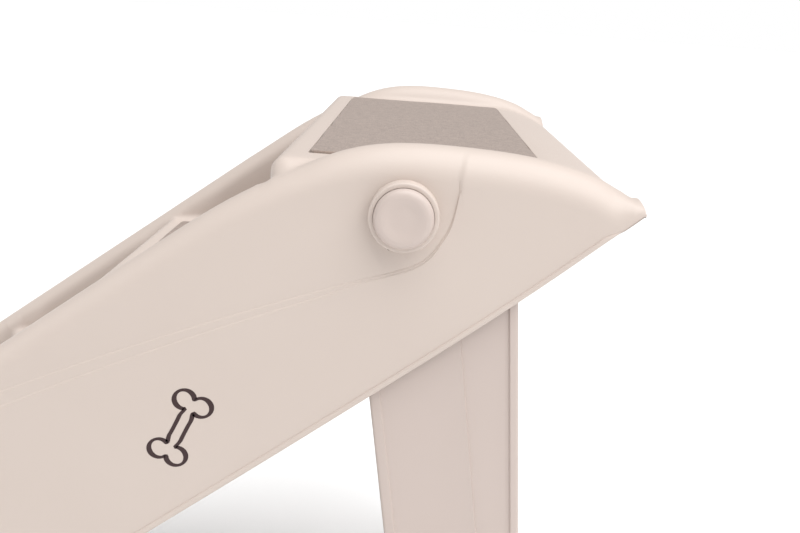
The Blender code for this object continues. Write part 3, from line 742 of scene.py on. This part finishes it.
def ribTree():
    # a row of upright ribs: count, first place, step between ribs and the size of each
    tree = bpy.data.node_groups.new("ribRow", "GeometryNodeTree")
    face = tree.interface
    vectors = [(name, "NodeSocketVector") for name in ("Start", "Step", "Size", "Lean", "Axis")]
    for name, kind in (("Count", "NodeSocketInt"), *vectors, ("Finish", "NodeSocketMaterial")):
        face.new_socket(name, in_out="INPUT", socket_type=kind)
    face.new_socket("Geometry", in_out="OUTPUT", socket_type="NodeSocketGeometry")
    given = addNode(tree, "NodeGroupInput").outputs
    line = addNode(tree, "GeometryNodeMeshLine", {"mode": "OFFSET"},
                   {"Count": given["Count"], "Start Location": given["Start"], "Offset": given["Step"]})
    rib = addNode(tree, "GeometryNodeMeshCube", None, {"Size": given["Size"]})
    row = addNode(tree, "GeometryNodeInstanceOnPoints", None,
                  {"Points": line.outputs["Mesh"], "Instance": rib.outputs["Mesh"]})
    real = addNode(tree, "GeometryNodeRealizeInstances", None, {"Geometry": row.outputs["Instances"]})
    leant = addNode(tree, "GeometryNodeTransform", None,
                    {"Geometry": real.outputs["Geometry"], "Rotation": given["Lean"],
                     "Translation": given["Axis"]})
    painted = addNode(tree, "GeometryNodeSetMaterial", None,
                      {"Geometry": leant.outputs["Geometry"], "Material": given["Finish"]})
    addNode(tree, "NodeGroupOutput", None, {"Geometry": painted.outputs["Geometry"]})
    return tree


def fromTree(name, tree, inputs, mesh=None, smoothAngle=35):
    # runs a tree on a new object and keeps the result as a plain mesh
    made = bpy.data.objects.new(name, mesh or bpy.data.meshes.new(name))
    bpy.context.scene.collection.objects.link(made)
    step = made.modifiers.new("Tree", "NODES")
    step.node_group = tree
    names = {item.name: item.identifier for item in tree.interface.items_tree if item.in_out == "INPUT"}
    for label, value in inputs.items():
        step[names[label]] = value
    return settle(made, smoothAngle)


ribs = ribTree()
crossbar = {"wall": 0.003, "edge": 0.0008, "ribs": 9, "ribWall": 0.0016}
crossbars = {"upper_crossbar": (0.207, 0.247, -0.005, 0.043), "lower_crossbar": (0.375, 0.435, -0.003, 0.040)}


def makeCrossbar(name, start, end, front, rear):
    # a channel open to the rear, with thin ribs across it
    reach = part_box(name)[1].y
    shape = bmesh.new()
    bmesh.ops.create_cube(shape, size=1)
    for vert in shape.verts:
        vert.co = Vector((between(front, rear, vert.co.x + 0.5), vert.co.y * 2 * reach,
                          -between(start, end, 0.5 - vert.co.z)))
    back = [face for face in shape.faces if face.normal.x > 0.9]
    bmesh.ops.inset_region(shape, faces=back, thickness=crossbar["wall"])
    pushed = bmesh.ops.extrude_face_region(shape, geom=back)
    moved = [item for item in pushed["geom"] if isinstance(item, bmesh.types.BMVert)]
    bmesh.ops.translate(shape, verts=moved, vec=(front + crossbar["wall"] - rear, 0, 0))
    bmesh.ops.delete(shape, geom=back, context="FACES_ONLY")
    bmesh.ops.transform(shape, matrix=Matrix.Rotation(-legLean, 4, "Y"), verts=shape.verts)
    bmesh.ops.translate(shape, verts=shape.verts, vec=pivot)
    bmesh.ops.recalc_face_normals(shape, faces=shape.faces)
    bar = softened(meshObject(f"{name}_channel", shape, legPlastic), crossbar["edge"])
    wall, count = crossbar["wall"], crossbar["ribs"]
    spacing = 2 * reach / (count + 1)
    row = fromTree(f"{name}_ribs", ribs, {
        "Count": count, "Start": ((front + rear) / 2, spacing - reach, -(start + end) / 2),
        "Step": (0, spacing, 0), "Size": (rear - front - 2 * wall, crossbar["ribWall"], end - start - wall),
        "Lean": (0, -legLean, 0), "Axis": tuple(pivot), "Finish": legPlastic})
    return joined(f"{name}_moulding", [bar, row])


for barName, sizes in crossbars.items():
    hangOn(makeCrossbar(barName, *sizes), "leg_frame", "leg_plastic", barName)

underside = {
    "ribHeight": 0.008,
    "ribWall": 0.003,
    "ribY": 0.080,
    "lugRadius": 0.020,
    "lugWall": 0.004,
    "lugGap": 0.0008,
    "lugBore": 0.0128,
    "stopGap": 0.0008,         # between the open leg's heel and its web
    "webStart": 0.012,         # along the heel's flat
    "webWall": 0.003,
    "edge": 0.0005,
}


def makeDeckRibs():
    front, rear = pads[0][0].x, pads[0][1].x
    rows = []
    height = underside["ribHeight"]
    middle = rise - body["wall"] - body["recess"] - height / 2 + 0.001
    for y in (-underside["ribY"], underside["ribY"]):
        rows.append(fromTree("deck_rib_row", ribs, {
            "Count": 4, "Start": ((front + rear) / 2, y, middle),
            "Step": (run, 0, rise), "Size": (rear - front, underside["ribWall"], height),
            "Lean": (0, 0, 0), "Axis": (0, 0, 0), "Finish": bodyPlastic}))
    return joined("deck_ribs", rows)


def makeHingeLugs():
    # a plate under the platform on each side, which carries the hinge sleeve
    pieces = []
    top = 4 * rise - body["wall"] - 0.0005
    high = innerY - underside["lugGap"]
    foot = arc((pivot.x, pivot.z), underside["lugRadius"], 180, 360, 24)
    outline = [(pivot.x - underside["lugRadius"], top)] + foot + [(pivot.x + underside["lugRadius"], top)]
    for side in (1, -1):
        faces = sorted((side * (high - underside["lugWall"]), side * high))
        plate = meshObject("lug", prism(outline, *faces), bodyPlastic)
        pieces.append(softened(bored(plate, underside["lugBore"], -outerY, outerY), underside["edge"]))
    return joined("hinge_lugs", pieces)


def makeStopWebs():
    # a wall in each side rail that the open leg's heel rests against
    heel = Vector((footRear - leg["heel"] * rearTan, leg["heel"]))
    touch = Vector(tangentPoint(heel, leg["headRadius"], 1))
    along = (heel - touch).normalized()
    out = Vector((-along.y, along.x))
    start = touch + along * underside["webStart"]
    near, far = underside["stopGap"], underside["stopGap"] + underside["webWall"]
    corners = ((start, near), (heel, near), (heel, far), (start, far))
    outline = [tuple(end + out * away) for end, away in corners]
    pieces = []
    for side in (1, -1):
        shape = prism(outline, *sorted((side * (innerY + 0.003), side * (outerY - 0.0026))))
        pieces.append(meshObject("web", shape, bodyPlastic))
    return joined("leg_stop_webs", pieces)


hangOn(makeDeckRibs(), "stairs", "body_plastic")
hangOn(makeHingeLugs(), "stairs", "body_plastic")
hangOn(makeStopWebs(), "stairs", "body_plastic")


def turned(name, profile, side, material, steps=96, smoothAngle=35):
    # a profile of (radius, y) turned about the hinge axis
    shape = bmesh.new()
    rows = []
    for radius, y in profile:
        angles = [2 * math.pi * i / steps for i in range(1 if radius < 1e-6 else steps)]
        circle = [(pivot.x + radius * math.cos(a), side * y, pivot.z + radius * math.sin(a)) for a in angles]
        rows.append([shape.verts.new(point) for point in circle])
    if profile[0] == profile[-1]:
        rows[-1] = rows[0]
    for first, second in zip(rows, rows[1:]):
        for i in range(steps):
            corners = [first[i % len(first)], first[(i + 1) % len(first)],
                       second[(i + 1) % len(second)], second[i % len(second)]]
            corners = list(dict.fromkeys(corners))
            if len(corners) > 2:
                shape.faces.new(corners)
    loose = [vert for vert in shape.verts if not vert.link_faces]
    bmesh.ops.delete(shape, geom=loose, context="VERTS")
    bmesh.ops.recalc_face_normals(shape, faces=shape.faces)
    return meshObject(name, shape, material, smoothAngle)


def rounded(points, radius, steps=5):
    # a profile with some corners rounded: (radius, y) is sharp, (radius, y, True) takes the given size
    # and (radius, y, size) its own
    line = []
    for i, point in enumerate(points):
        here = Vector(point[:2])
        if len(point) == 2:
            line.append(tuple(here))
            continue
        size = radius if point[2] is True else point[2]
        before = (Vector(points[i - 1][:2]) - here).normalized() * size
        after = (Vector(points[i + 1][:2]) - here).normalized() * size
        for k in range(steps + 1):
            t = k / steps
            line.append(tuple(here + before * (1 - t)**2 + after * t**2))
    return line


# Push buttons in their collars, on the hinge axis
button = {
    "dish": 0.0008,            # hollow of the cap's face
    "flat": 0.74,              # share of the cap's radius inside its shoulder
    "edge": 0.0038,
    "stem": 0.005,
    "collarEdge": 0.0012,
    "sleeveBore": 0.0095,
    "springWire": 0.0007,
    "springTurns": 6,
}


def makeCollar(name, side):
    low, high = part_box("hinge_collar_left")
    capLow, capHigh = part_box("release_button_left")
    radius, cap = (high.x - low.x) / 2, (capHigh.x - capLow.x) / 2
    sleeve, bore = 0.0125, cap + 0.00015
    base, floor = outerY - 2 * body["styleStep"] - 0.0004, outerY + 0.0018
    guide = low.y + 0.004
    profile = rounded([
        (sleeve, low.y, 0.0006), (sleeve, base), (radius, base), (radius, high.y, button["collarEdge"]),
        (bore, high.y, 0.0002), (bore, floor),
        (button["sleeveBore"], floor, 0.0004), (button["sleeveBore"], guide),
        (button["stem"] + 0.0006, guide), (button["stem"] + 0.0006, low.y), (sleeve, low.y)], 0.001)
    profile = profile[:-1]
    return turned(name, profile + [profile[0]], side, bodyPlastic)


def makeButton(name, side):
    low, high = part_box("release_button_left")
    radius, back = (high.x - low.x) / 2, high.y - 0.005
    face = [(0, high.y - button["dish"])]
    face += [(radius * button["flat"] * share, high.y - button["dish"] * (1 - ease((share - 0.45) / 0.55)))
             for share in (0.2, 0.4, 0.55, 0.65, 0.75, 0.85, 0.93, 1)]
    edge = rounded([(radius * button["flat"], high.y), (radius, high.y, button["edge"]),
                    (radius, back)], 0.001, 8)
    stem = rounded([(radius, back), (radius, back, 0.0005), (button["stem"], back, 0.0004),
                    (button["stem"], low.y, 0.0006), (0, low.y)], 0.001, 4)
    return turned(name, face + edge[1:-1] + stem[1:], side, buttonPlastic)


def makeWasher(name, node, side, inner, material):
    low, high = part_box(node)
    outer = (high.x - low.x) / 2
    profile = rounded([(inner, low.y), (outer, low.y, True), (outer, high.y, True),
                       (inner, high.y)], 0.0005, 3)
    return turned(name, profile + [profile[0]], side, material)


def makeSpring(name, side):
    # a compression spring round the button's stem, its end turns closed
    low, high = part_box("button_spring_left")
    wire, turns, steps = button["springWire"], button["springTurns"], 28
    radius = (high.x - low.x) / 2 - wire
    closed = 0.8 * steps
    rings = []
    for i in range(turns * steps + 1):
        angle = 2 * math.pi * i / steps
        share = min(max((i - closed) / (turns * steps - 2 * closed), 0), 1)
        lift = wire * 1.6 * (min(i, closed) / closed + max(i - turns * steps + closed, 0) / closed)
        y = low.y + wire + (high.y - low.y - 5.2 * wire) * share + lift
        ring = [(radius + wire * math.cos(k * math.pi / 4), y + wire * math.sin(k * math.pi / 4))
                for k in range(8)]
        rings.append([(pivot.x + r * math.cos(angle), side * across, pivot.z + r * math.sin(angle))
                      for r, across in ring])
    return loft(rings, name, steel)


# Zinc-plated spring steel: bright, with a faint brushed cloudiness
def zincSteel():
    made, tree, shader = newMaterial("zinc_plated_steel", 0.32, metallic=1.0)
    place = addNode(tree, "ShaderNodeTexCoord").outputs["Object"]
    cloud = addNode(tree, "ShaderNodeTexNoise", {"Scale": 450.0, "Detail": 3.0}, {"Vector": place})
    tree.links.new(mixColours(tree, cloud.outputs["Fac"], "#c9cacc", "#b4b6ba"), shader.inputs["Base Color"])
    gloss = addNode(tree, "ShaderNodeMapRange", {"To Min": 0.25, "To Max": 0.42},
                    {"Value": cloud.outputs["Fac"]})
    tree.links.new(gloss.outputs["Result"], shader.inputs["Roughness"])
    return made


steel = zincSteel()
for sideName, side in (("left", 1), ("right", -1)):
    hangOn(makeCollar(f"collar_{sideName}", side), "stairs", "body_plastic", f"hinge_collar_{sideName}")
    hangOn(makeButton(f"push_button_{sideName}", side), f"button_{sideName}", "button_plastic",
           f"release_button_{sideName}")
    hangOn(makeWasher(f"push_ring_{sideName}", "retaining_ring_left", side, 0.0128, steel), "stairs", "steel",
           f"retaining_ring_{sideName}")
    hangOn(makeWasher(f"stem_clip_{sideName}", "button_clip_left", side, 0.0053, steel),
           f"button_{sideName}", "steel", f"button_clip_{sideName}")
    spring = hangOn(makeSpring(f"return_spring_{sideName}", side), "stairs", "steel",
                    f"button_spring_{sideName}")
    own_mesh(spring)


def screwTree():
    # pan-head screws with a cross recess, one on each point, heads turned to the middle of the object
    tree = bpy.data.node_groups.new("crossbarScrews", "GeometryNodeTree")
    face = tree.interface
    for name, kind in (("Geometry", "NodeSocketGeometry"), ("Head Radius", "NodeSocketFloat"),
                       ("Head Height", "NodeSocketFloat"), ("Shank Radius", "NodeSocketFloat"),
                       ("Length", "NodeSocketFloat"), ("Finish", "NodeSocketMaterial")):
        face.new_socket(name, in_out="INPUT", socket_type=kind)
    face.new_socket("Geometry", in_out="OUTPUT", socket_type="NodeSocketGeometry")
    given = addNode(tree, "NodeGroupInput").outputs

    def times(value, factor):
        return addNode(tree, "ShaderNodeMath", {"operation": "MULTIPLY", 1: factor}, {0: value}).outputs[0]

    def raised(mesh, height):
        lift = addNode(tree, "ShaderNodeCombineXYZ", None, {"Z": height})
        return addNode(tree, "GeometryNodeTransform", None,
                       {"Geometry": mesh, "Translation": lift.outputs[0]}).outputs["Geometry"]
    head = addNode(tree, "GeometryNodeMeshCone", {"Vertices": 32},
                   {"Radius Top": times(given["Head Radius"], 0.72), "Radius Bottom": given["Head Radius"],
                    "Depth": given["Head Height"]})
    slots = []
    for long, wide in ((1.1, 0.28), (0.28, 1.1)):
        size = addNode(tree, "ShaderNodeCombineXYZ", None,
                       {"X": times(given["Head Radius"], long), "Y": times(given["Head Radius"], wide),
                        "Z": times(given["Head Height"], 1.2)})
        slot = addNode(tree, "GeometryNodeMeshCube", None, {"Size": size.outputs[0]})
        slots.append(raised(slot.outputs["Mesh"], given["Head Height"]))
    cut = addNode(tree, "GeometryNodeMeshBoolean", {"operation": "DIFFERENCE"},
                  {"Mesh 1": head.outputs["Mesh"]})
    for slot in slots:
        tree.links.new(slot, cut.inputs["Mesh 2"])
    shank = addNode(tree, "GeometryNodeMeshCylinder", {"Vertices": 16},
                    {"Radius": given["Shank Radius"], "Depth": given["Length"]})
    lowered = raised(shank.outputs["Mesh"], times(given["Length"], -0.5))
    screw = addNode(tree, "GeometryNodeJoinGeometry")
    for part in (cut.outputs["Mesh"], lowered):
        tree.links.new(part, screw.inputs["Geometry"])
    place = addNode(tree, "GeometryNodeInputPosition")
    parts = addNode(tree, "ShaderNodeSeparateXYZ", None, {0: place.outputs[0]})
    side = addNode(tree, "ShaderNodeMath", {"operation": "SIGN"}, {0: parts.outputs["Y"]})
    turn = addNode(tree, "ShaderNodeCombineXYZ", None, {"X": times(side.outputs[0], math.pi / 2)})
    placed = addNode(tree, "GeometryNodeInstanceOnPoints", None,
                     {"Points": given["Geometry"], "Instance": screw.outputs["Geometry"],
                      "Rotation": turn.outputs[0]})
    real = addNode(tree, "GeometryNodeRealizeInstances", None, {"Geometry": placed.outputs["Instances"]})
    painted = addNode(tree, "GeometryNodeSetMaterial", None,
                      {"Geometry": real.outputs["Geometry"], "Material": given["Finish"]})
    addNode(tree, "NodeGroupOutput", None, {"Geometry": painted.outputs["Geometry"]})
    return tree


def makeScrews():
    nodes = [name for name in frame["nodes"] if "_screw_" in name]
    seats = bpy.data.meshes.new("screw_seats")
    places = []
    for name in nodes:
        low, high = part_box(name)
        inner = low.y if low.y > 0 else high.y
        places.append(((low.x + high.x) / 2, inner + math.copysign(0.0011, inner), (low.z + high.z) / 2))
    seats.from_pydata(places, [], [])
    made = fromTree("crossbar_screws", screwTree(), {
        "Head Radius": 0.0035, "Head Height": 0.0022, "Shank Radius": 0.0015, "Length": 0.014,
        "Finish": steel}, seats)
    return hangOn(made, "leg_frame", "steel", *nodes)


makeScrews()


# Rubber, compression moulded: dull, nearly even, with fine pits
def mouldedRubber():
    made, tree, shader = newMaterial("moulded_rubber", 0.82, IOR=1.52)
    place = addNode(tree, "ShaderNodeTexCoord").outputs["Object"]
    pits = addNode(tree, "ShaderNodeTexNoise", {"Scale": 900.0, "Detail": 2.0}, {"Vector": place})
    tree.links.new(mixColours(tree, pits.outputs["Fac"], "#787069", "#6a635d"), shader.inputs["Base Color"])
    bump = addNode(tree, "ShaderNodeBump", {"Strength": 0.5, "Distance": 0.00006},
                   {"Height": pits.outputs["Fac"]})
    tree.links.new(bump.outputs["Normal"], shader.inputs["Normal"])
    return made


rubber = mouldedRubber()
foot = {
    "soleBars": 9,
    "barHeight": 0.0012,
    "edge": 0.0016,
    "grooves": (0.006, 0.0115, 0.017),
    "grooveDepth": 0.0006,
}


def makeFrontFoot(name, node, side):
    low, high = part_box(node)
    base = low.z + foot["barHeight"] * 0.8
    shape = bmesh.new()
    bmesh.ops.create_cube(shape, size=1)
    for vert in shape.verts:
        vert.co = Vector((between(low.x, high.x, vert.co.x + 0.5), between(low.y, high.y, vert.co.y + 0.5),
                          between(base, high.z, vert.co.z + 0.5)))
    block = softened(meshObject("block", shape, rubber), foot["edge"], 3)
    count = foot["soleBars"]
    spacing = (high.x - low.x - 0.006) / count
    bars = fromTree("bars", ribs, {
        "Count": count,
        "Start": (low.x + 0.003 + spacing / 2, (low.y + high.y) / 2, low.z + foot["barHeight"]),
        "Step": (spacing, 0, 0), "Size": (spacing * 0.55, high.y - low.y - 0.005, 2 * foot["barHeight"]),
        "Lean": (0, 0, 0), "Axis": (0, 0, 0), "Finish": rubber})
    return joined(name, [block, bars])


def makeShoe(name, side):
    # a cup over the leg's end, with grip grooves round it
    def ring(grow, z):
        low, high = legLow.y - grow, legHigh.y + grow
        front, rear = footFront - z * frontTan - grow, footRear - z * rearTan + grow
        edge = 0.002
        points = []
        for cx, cy, start in ((rear - edge, high - edge, 0), (front + edge, high - edge, 90),
                              (front + edge, low + edge, 180), (rear - edge, low + edge, 270)):
            points += arc((cx, cy), edge, start, start + 90, 5)
        return [(x, side * y, z) for x, y in points]
    outer = shoeGrow
    rings = [ring(0.0003, legLow.z - 0.0003), ring(0.0003, shoeHigh.z - 0.0003), ring(0.0007, shoeHigh.z),
             ring(outer - 0.0004, shoeHigh.z), ring(outer, shoeHigh.z - 0.0006)]
    for z in reversed(foot["grooves"]):
        rings += [ring(outer, z + 0.0009), ring(outer - foot["grooveDepth"], z + 0.0003),
                  ring(outer - foot["grooveDepth"], z - 0.0003), ring(outer, z - 0.0009)]
    rings += [ring(outer, 0.0012), ring(outer - 0.0004, 0.0003), ring(outer - 0.0012, 0.0)]
    return loft(rings, name, rubber)


for sideName, side in (("left", 1), ("right", -1)):
    hangOn(makeFrontFoot(f"rubber_foot_{sideName}", f"front_foot_{sideName}", side), "stairs", "foot_rubber",
           f"front_foot_{sideName}")
    hangOn(makeShoe(f"rubber_shoe_{sideName}", side), "leg_frame", "foot_rubber", f"leg_foot_{sideName}")


# Needle-punched polyester felt: matted short fibres in two close tones, dull, with a soft nap
def needleFelt():
    made, tree, shader = newMaterial("needle_punched_felt", 0.97, Sheen_Weight=0.25, Sheen_Roughness=0.6)
    fibreMm, matMm = 0.9, 5.0          # fibres are drawn coarser than the real 0.03 mm
    place = addNode(tree, "ShaderNodeTexCoord").outputs["Object"]
    layers = []
    for turn in (0.35, 1.45, 2.4):
        combed = addNode(tree, "ShaderNodeMapping", {"Rotation": (0, 0, turn), "Scale": (1, 0.22, 1)},
                         {"Vector": place})
        fibre = addNode(tree, "ShaderNodeTexNoise",
                        {"Scale": 1000 / fibreMm, "Detail": 3.0, "Roughness": 0.6},
                        {"Vector": combed.outputs[0]})
        layers.append(fibre.outputs["Fac"])
    first = addNode(tree, "ShaderNodeMath", {"operation": "MAXIMUM"}, {0: layers[0], 1: layers[1]})
    fibres = addNode(tree, "ShaderNodeMath", {"operation": "MAXIMUM"}, {0: first.outputs[0], 1: layers[2]})
    mats = addNode(tree, "ShaderNodeTexNoise", {"Scale": 1000 / matMm, "Detail": 4.0}, {"Vector": place})
    both = addNode(tree, "ShaderNodeMath", {"operation": "MULTIPLY_ADD", 1: 0.45}, {0: mats.outputs["Fac"],
                                                                                    2: fibres.outputs[0]})
    spread = addNode(tree, "ShaderNodeMapRange", {"From Min": 0.62, "From Max": 1.0},
                     {"Value": both.outputs[0]})
    tones = mixColours(tree, spread.outputs["Result"], "#7e6e65", "#9e8c81")
    tree.links.new(tones, shader.inputs["Base Color"])
    bump = addNode(tree, "ShaderNodeBump", {"Strength": 0.9, "Distance": 0.0003}, {"Height": both.outputs[0]})
    tree.links.new(bump.outputs["Normal"], shader.inputs["Normal"])
    return made


felt = needleFelt()
feltPad = {"corner": 0.004, "edge": 0.0011, "wobble": 0.0004, "sag": 0.00012}


def padPlaces(half):
    edge = [0.0, 0.0002, 0.0005, 0.0009, 0.0014, 0.003]
    inner = list(np.linspace(half - 0.006, 0, max(int(half / 0.004), 4)))
    left = [-half + d for d in edge] + [-v for v in inner]
    return left + [-v for v in reversed(left[:-1])]


def makePad(name, node, seed):
    low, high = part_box(node)
    centre = (low + high) / 2
    halfX, halfY = (high.x - low.x) / 2, (high.y - low.y) / 2
    base, thick = rise * seed - body["recess"] + 0.00005, high.z - (rise * seed - body["recess"]) + 0.0001
    phase = np.random.default_rng(seed).uniform(0, 2 * math.pi, 6)
    shape = bmesh.new()
    grids = []
    for layer in (1, 0):
        grid = []
        for u in padPlaces(halfX):
            row = []
            for v in padPlaces(halfY):
                inside = min(halfX - abs(u), halfY - abs(v))
                dx, dy = (max(abs(value) - half + feltPad["corner"], 0)
                          for value, half in ((u, halfX), (v, halfY)))
                x, y = u, v
                if dx > 0 and dy > 0:
                    pull = max(dx, dy) / math.hypot(dx, dy)
                    x -= math.copysign(dx * (1 - pull), u)
                    y -= math.copysign(dy * (1 - pull), v)
                fade = math.exp(-inside / 0.008)
                waveX = math.sin(v * 95 + phase[0]) + 0.6 * math.sin(v * 210 + phase[1])
                waveY = math.sin(u * 110 + phase[2]) + 0.6 * math.sin(u * 240 + phase[3])
                x += feltPad["wobble"] * fade * waveX / 1.6
                y += feltPad["wobble"] * fade * waveY / 1.6
                share = min(inside / feltPad["edge"], 1)
                height = thick * (0.25 + 0.75 * math.sqrt(1 - (1 - share)**2))
                height += feltPad["sag"] * math.sin(u * 70 + phase[4]) * math.sin(v * 55 + phase[5])
                row.append(shape.verts.new((centre.x + x, centre.y + y, base + height * layer)))
            grid.append(row)
        grids.append(grid)
    top, bottom = grids
    for i in range(len(top) - 1):
        for j in range(len(top[0]) - 1):
            shape.faces.new((top[i][j], top[i + 1][j], top[i + 1][j + 1], top[i][j + 1]))
            shape.faces.new((bottom[i][j], bottom[i][j + 1], bottom[i + 1][j + 1], bottom[i + 1][j]))
    lastI, lastJ = len(top) - 1, len(top[0]) - 1
    rim = [(i, 0) for i in range(lastI + 1)] + [(lastI, j) for j in range(1, lastJ + 1)]
    rim += [(i, lastJ) for i in range(lastI - 1, -1, -1)] + [(0, j) for j in range(lastJ - 1, 0, -1)]
    for (i, j), (k, m) in zip(rim, rim[1:] + rim[:1]):
        shape.faces.new((top[i][j], bottom[i][j], bottom[k][m], top[k][m]))
    bmesh.ops.recalc_face_normals(shape, faces=shape.faces)
    return meshObject(name, shape, felt, 60)


for step in range(1, 5):
    node = f"tread_pad_{step}"
    mat = hangOn(makePad(f"felt_pad_{step}", node, step), "stairs", "tread_felt", node)


# Pad-printed ink: thin, slightly glossy, dark brown
def printInk():
    made, tree, shader = newMaterial("pad_printed_ink", 0.5, IOR=1.5)
    place = addNode(tree, "ShaderNodeTexCoord").outputs["Object"]
    cover = addNode(tree, "ShaderNodeTexNoise", {"Scale": 1400.0, "Detail": 2.0}, {"Vector": place})
    tree.links.new(mixColours(tree, cover.outputs["Fac"], "#2a1011", "#341718"), shader.inputs["Base Color"])
    return made


ink = printInk()
bone = {
    "centre": (0.0883, 0.3431),
    "lean": 65.5,              # of the bone's length from level, in degrees
    "halfLength": 0.0157,
    "halfGap": 0.0048,
    "lobe": 0.0053,
    "waist": 0.0031,
    "line": 0.0011,            # half the line's width
    "swell": 0.30,             # how much the line thickens and thins as it turns
    "ink": 0.00005,
}


def boneOutline():
    # one quarter of the bone, mirrored along and across
    lobe, gap, length = bone["lobe"], bone["halfGap"], bone["halfLength"]
    quarter = [(length + 0.0021, 0.0)]
    quarter += [(length + lobe * math.cos(math.radians(a)), gap + lobe * math.sin(math.radians(a)))
                for a in range(-45, 216, 15)]
    quarter += [(length * share, bone["waist"] + 0.0008 * share**2) for share in (0.45, 0.3, 0.15)]
    whole = quarter + [(-u, v) for u, v in reversed(quarter)]
    whole += [(-u, -v) for u, v in quarter[1:]] + [(u, -v) for u, v in reversed(quarter[1:])]
    for _ in range(2):
        cut = []
        for (u0, v0), (u1, v1) in zip(whole, whole[1:] + whole[:1]):
            cut += [(between(u0, u1, share), between(v0, v1, share)) for share in (0.25, 0.75)]
        whole = cut
    return whole


def makeBone(name, side):
    turn = math.radians(bone["lean"])
    path = [(bone["centre"][0] + u * math.cos(turn) + v * math.sin(turn),
             bone["centre"][1] + u * math.sin(turn) - v * math.cos(turn)) for u, v in boneOutline()]
    shape = bmesh.new()
    pairs = []
    for i, (x, z) in enumerate(path):
        after, before = path[(i + 1) % len(path)], path[i - 1]
        heading = Vector((after[0] - before[0], after[1] - before[1])).normalized()
        normal = Vector((-heading.y, heading.x))
        width = bone["line"] * (1 + bone["swell"] * math.cos(2 * math.atan2(normal.y, normal.x) - 0.9))
        face = side * (outerY + bone["ink"])
        pairs.append([shape.verts.new((x + s * normal.x * width, face, z + s * normal.y * width))
                      for s in (-1, 1)])
    for first, second in zip(pairs, pairs[1:] + pairs[:1]):
        shape.faces.new((first[0], first[1], second[1], second[0]))
    bmesh.ops.recalc_face_normals(shape, faces=shape.faces)
    if sum(face.normal.y for face in shape.faces) * side < 0:
        bmesh.ops.reverse_faces(shape, faces=shape.faces)
    made = meshObject(name, shape, ink)
    thick = made.modifiers.new("Ink", "SOLIDIFY")
    thick.thickness = 2 * bone["ink"]
    thick.offset = -1
    return settle(made)


for sideName, side in (("left", 1), ("right", -1)):
    hangOn(makeBone(f"bone_print_{sideName}", side), "stairs", "print_ink")


def areaLight(name, place, aim, size, power):
    lamp = bpy.data.lights.new(name, "AREA")
    lamp.shape = "RECTANGLE"
    lamp.size, lamp.size_y = size
    lamp.energy = power
    made = bpy.data.objects.new(name, lamp)
    made.location = place
    made.rotation_euler = (Vector(aim) - Vector(place)).to_track_quat("-Z", "Y").to_euler()
    bpy.context.scene.collection.objects.link(made)
    return made


studio = {
    "world": 0.38,
    "backdrop": 1.0,           # what the camera itself sees behind the floor
    "side": 3,
    "overhead": 3.45,
    "front": 4,
    "floorSize": 60,
}


def makeStudio():
    world = bpy.data.worlds.new("studio")
    world.use_nodes = True
    tree = world.node_tree
    backdrop = tree.nodes["Background"]
    backdrop.inputs["Color"].default_value = toLinear("#ffffff")
    seen = addNode(tree, "ShaderNodeLightPath").outputs["Is Camera Ray"]
    strength = addNode(tree, "ShaderNodeMapRange", {"To Min": studio["world"], "To Max": studio["backdrop"]},
                       {"Value": seen})
    tree.links.new(strength.outputs["Result"], backdrop.inputs["Strength"])
    bpy.context.scene.world = world
    areaLight("front_softbox", (-1.7, -0.3, 1.0), (0, 0, 0.25), (1.2, 1.4), studio["front"])
    areaLight("side_softbox", (0.9, -1.0, 1.0), (0.25, -0.2, 0.42), (0.9, 0.9), studio["side"])
    overhead = bpy.data.lights.new("overhead_bank", "SUN")
    overhead.energy = studio["overhead"]
    overhead.angle = math.radians(70)
    bank = bpy.data.objects.new("overhead_bank", overhead)
    bank.rotation_euler = (math.radians(12), math.radians(16), 0)
    bpy.context.scene.collection.objects.link(bank)
    floor = bmesh.new()
    bmesh.ops.create_grid(floor, x_segments=1, y_segments=1, size=studio["floorSize"])
    made, tree, shader = newMaterial("matt_white_floor", 0.9)
    place = addNode(tree, "ShaderNodeTexCoord").outputs["Object"]
    clouds = addNode(tree, "ShaderNodeTexNoise", {"Scale": 2.0}, {"Vector": place})
    tree.links.new(mixColours(tree, clouds.outputs["Fac"], "#f1f1f1", "#efefef"), shader.inputs["Base Color"])
    meshObject("studio_floor", floor, made)
    bpy.context.scene.view_settings.view_transform = "Standard"


def makeCamera():
    view = {"place": (0.195, -0.6144, 0.5560), "down": 15.835, "roll": 4.4, "lens": 39.87}
    lens = bpy.data.cameras.new("camera")
    lens.lens = view["lens"]
    lens.sensor_width = 36
    lens.clip_start = 0.02
    made = bpy.data.objects.new("camera", lens)
    made.matrix_world = (Matrix.Translation(view["place"])
                         @ Matrix.Rotation(math.radians(90 - view["down"]), 4, "X")
                         @ Matrix.Rotation(math.radians(view["roll"]), 4, "Z"))
    bpy.context.scene.collection.objects.link(made)
    bpy.context.scene.camera = made


makeStudio()
makeCamera()
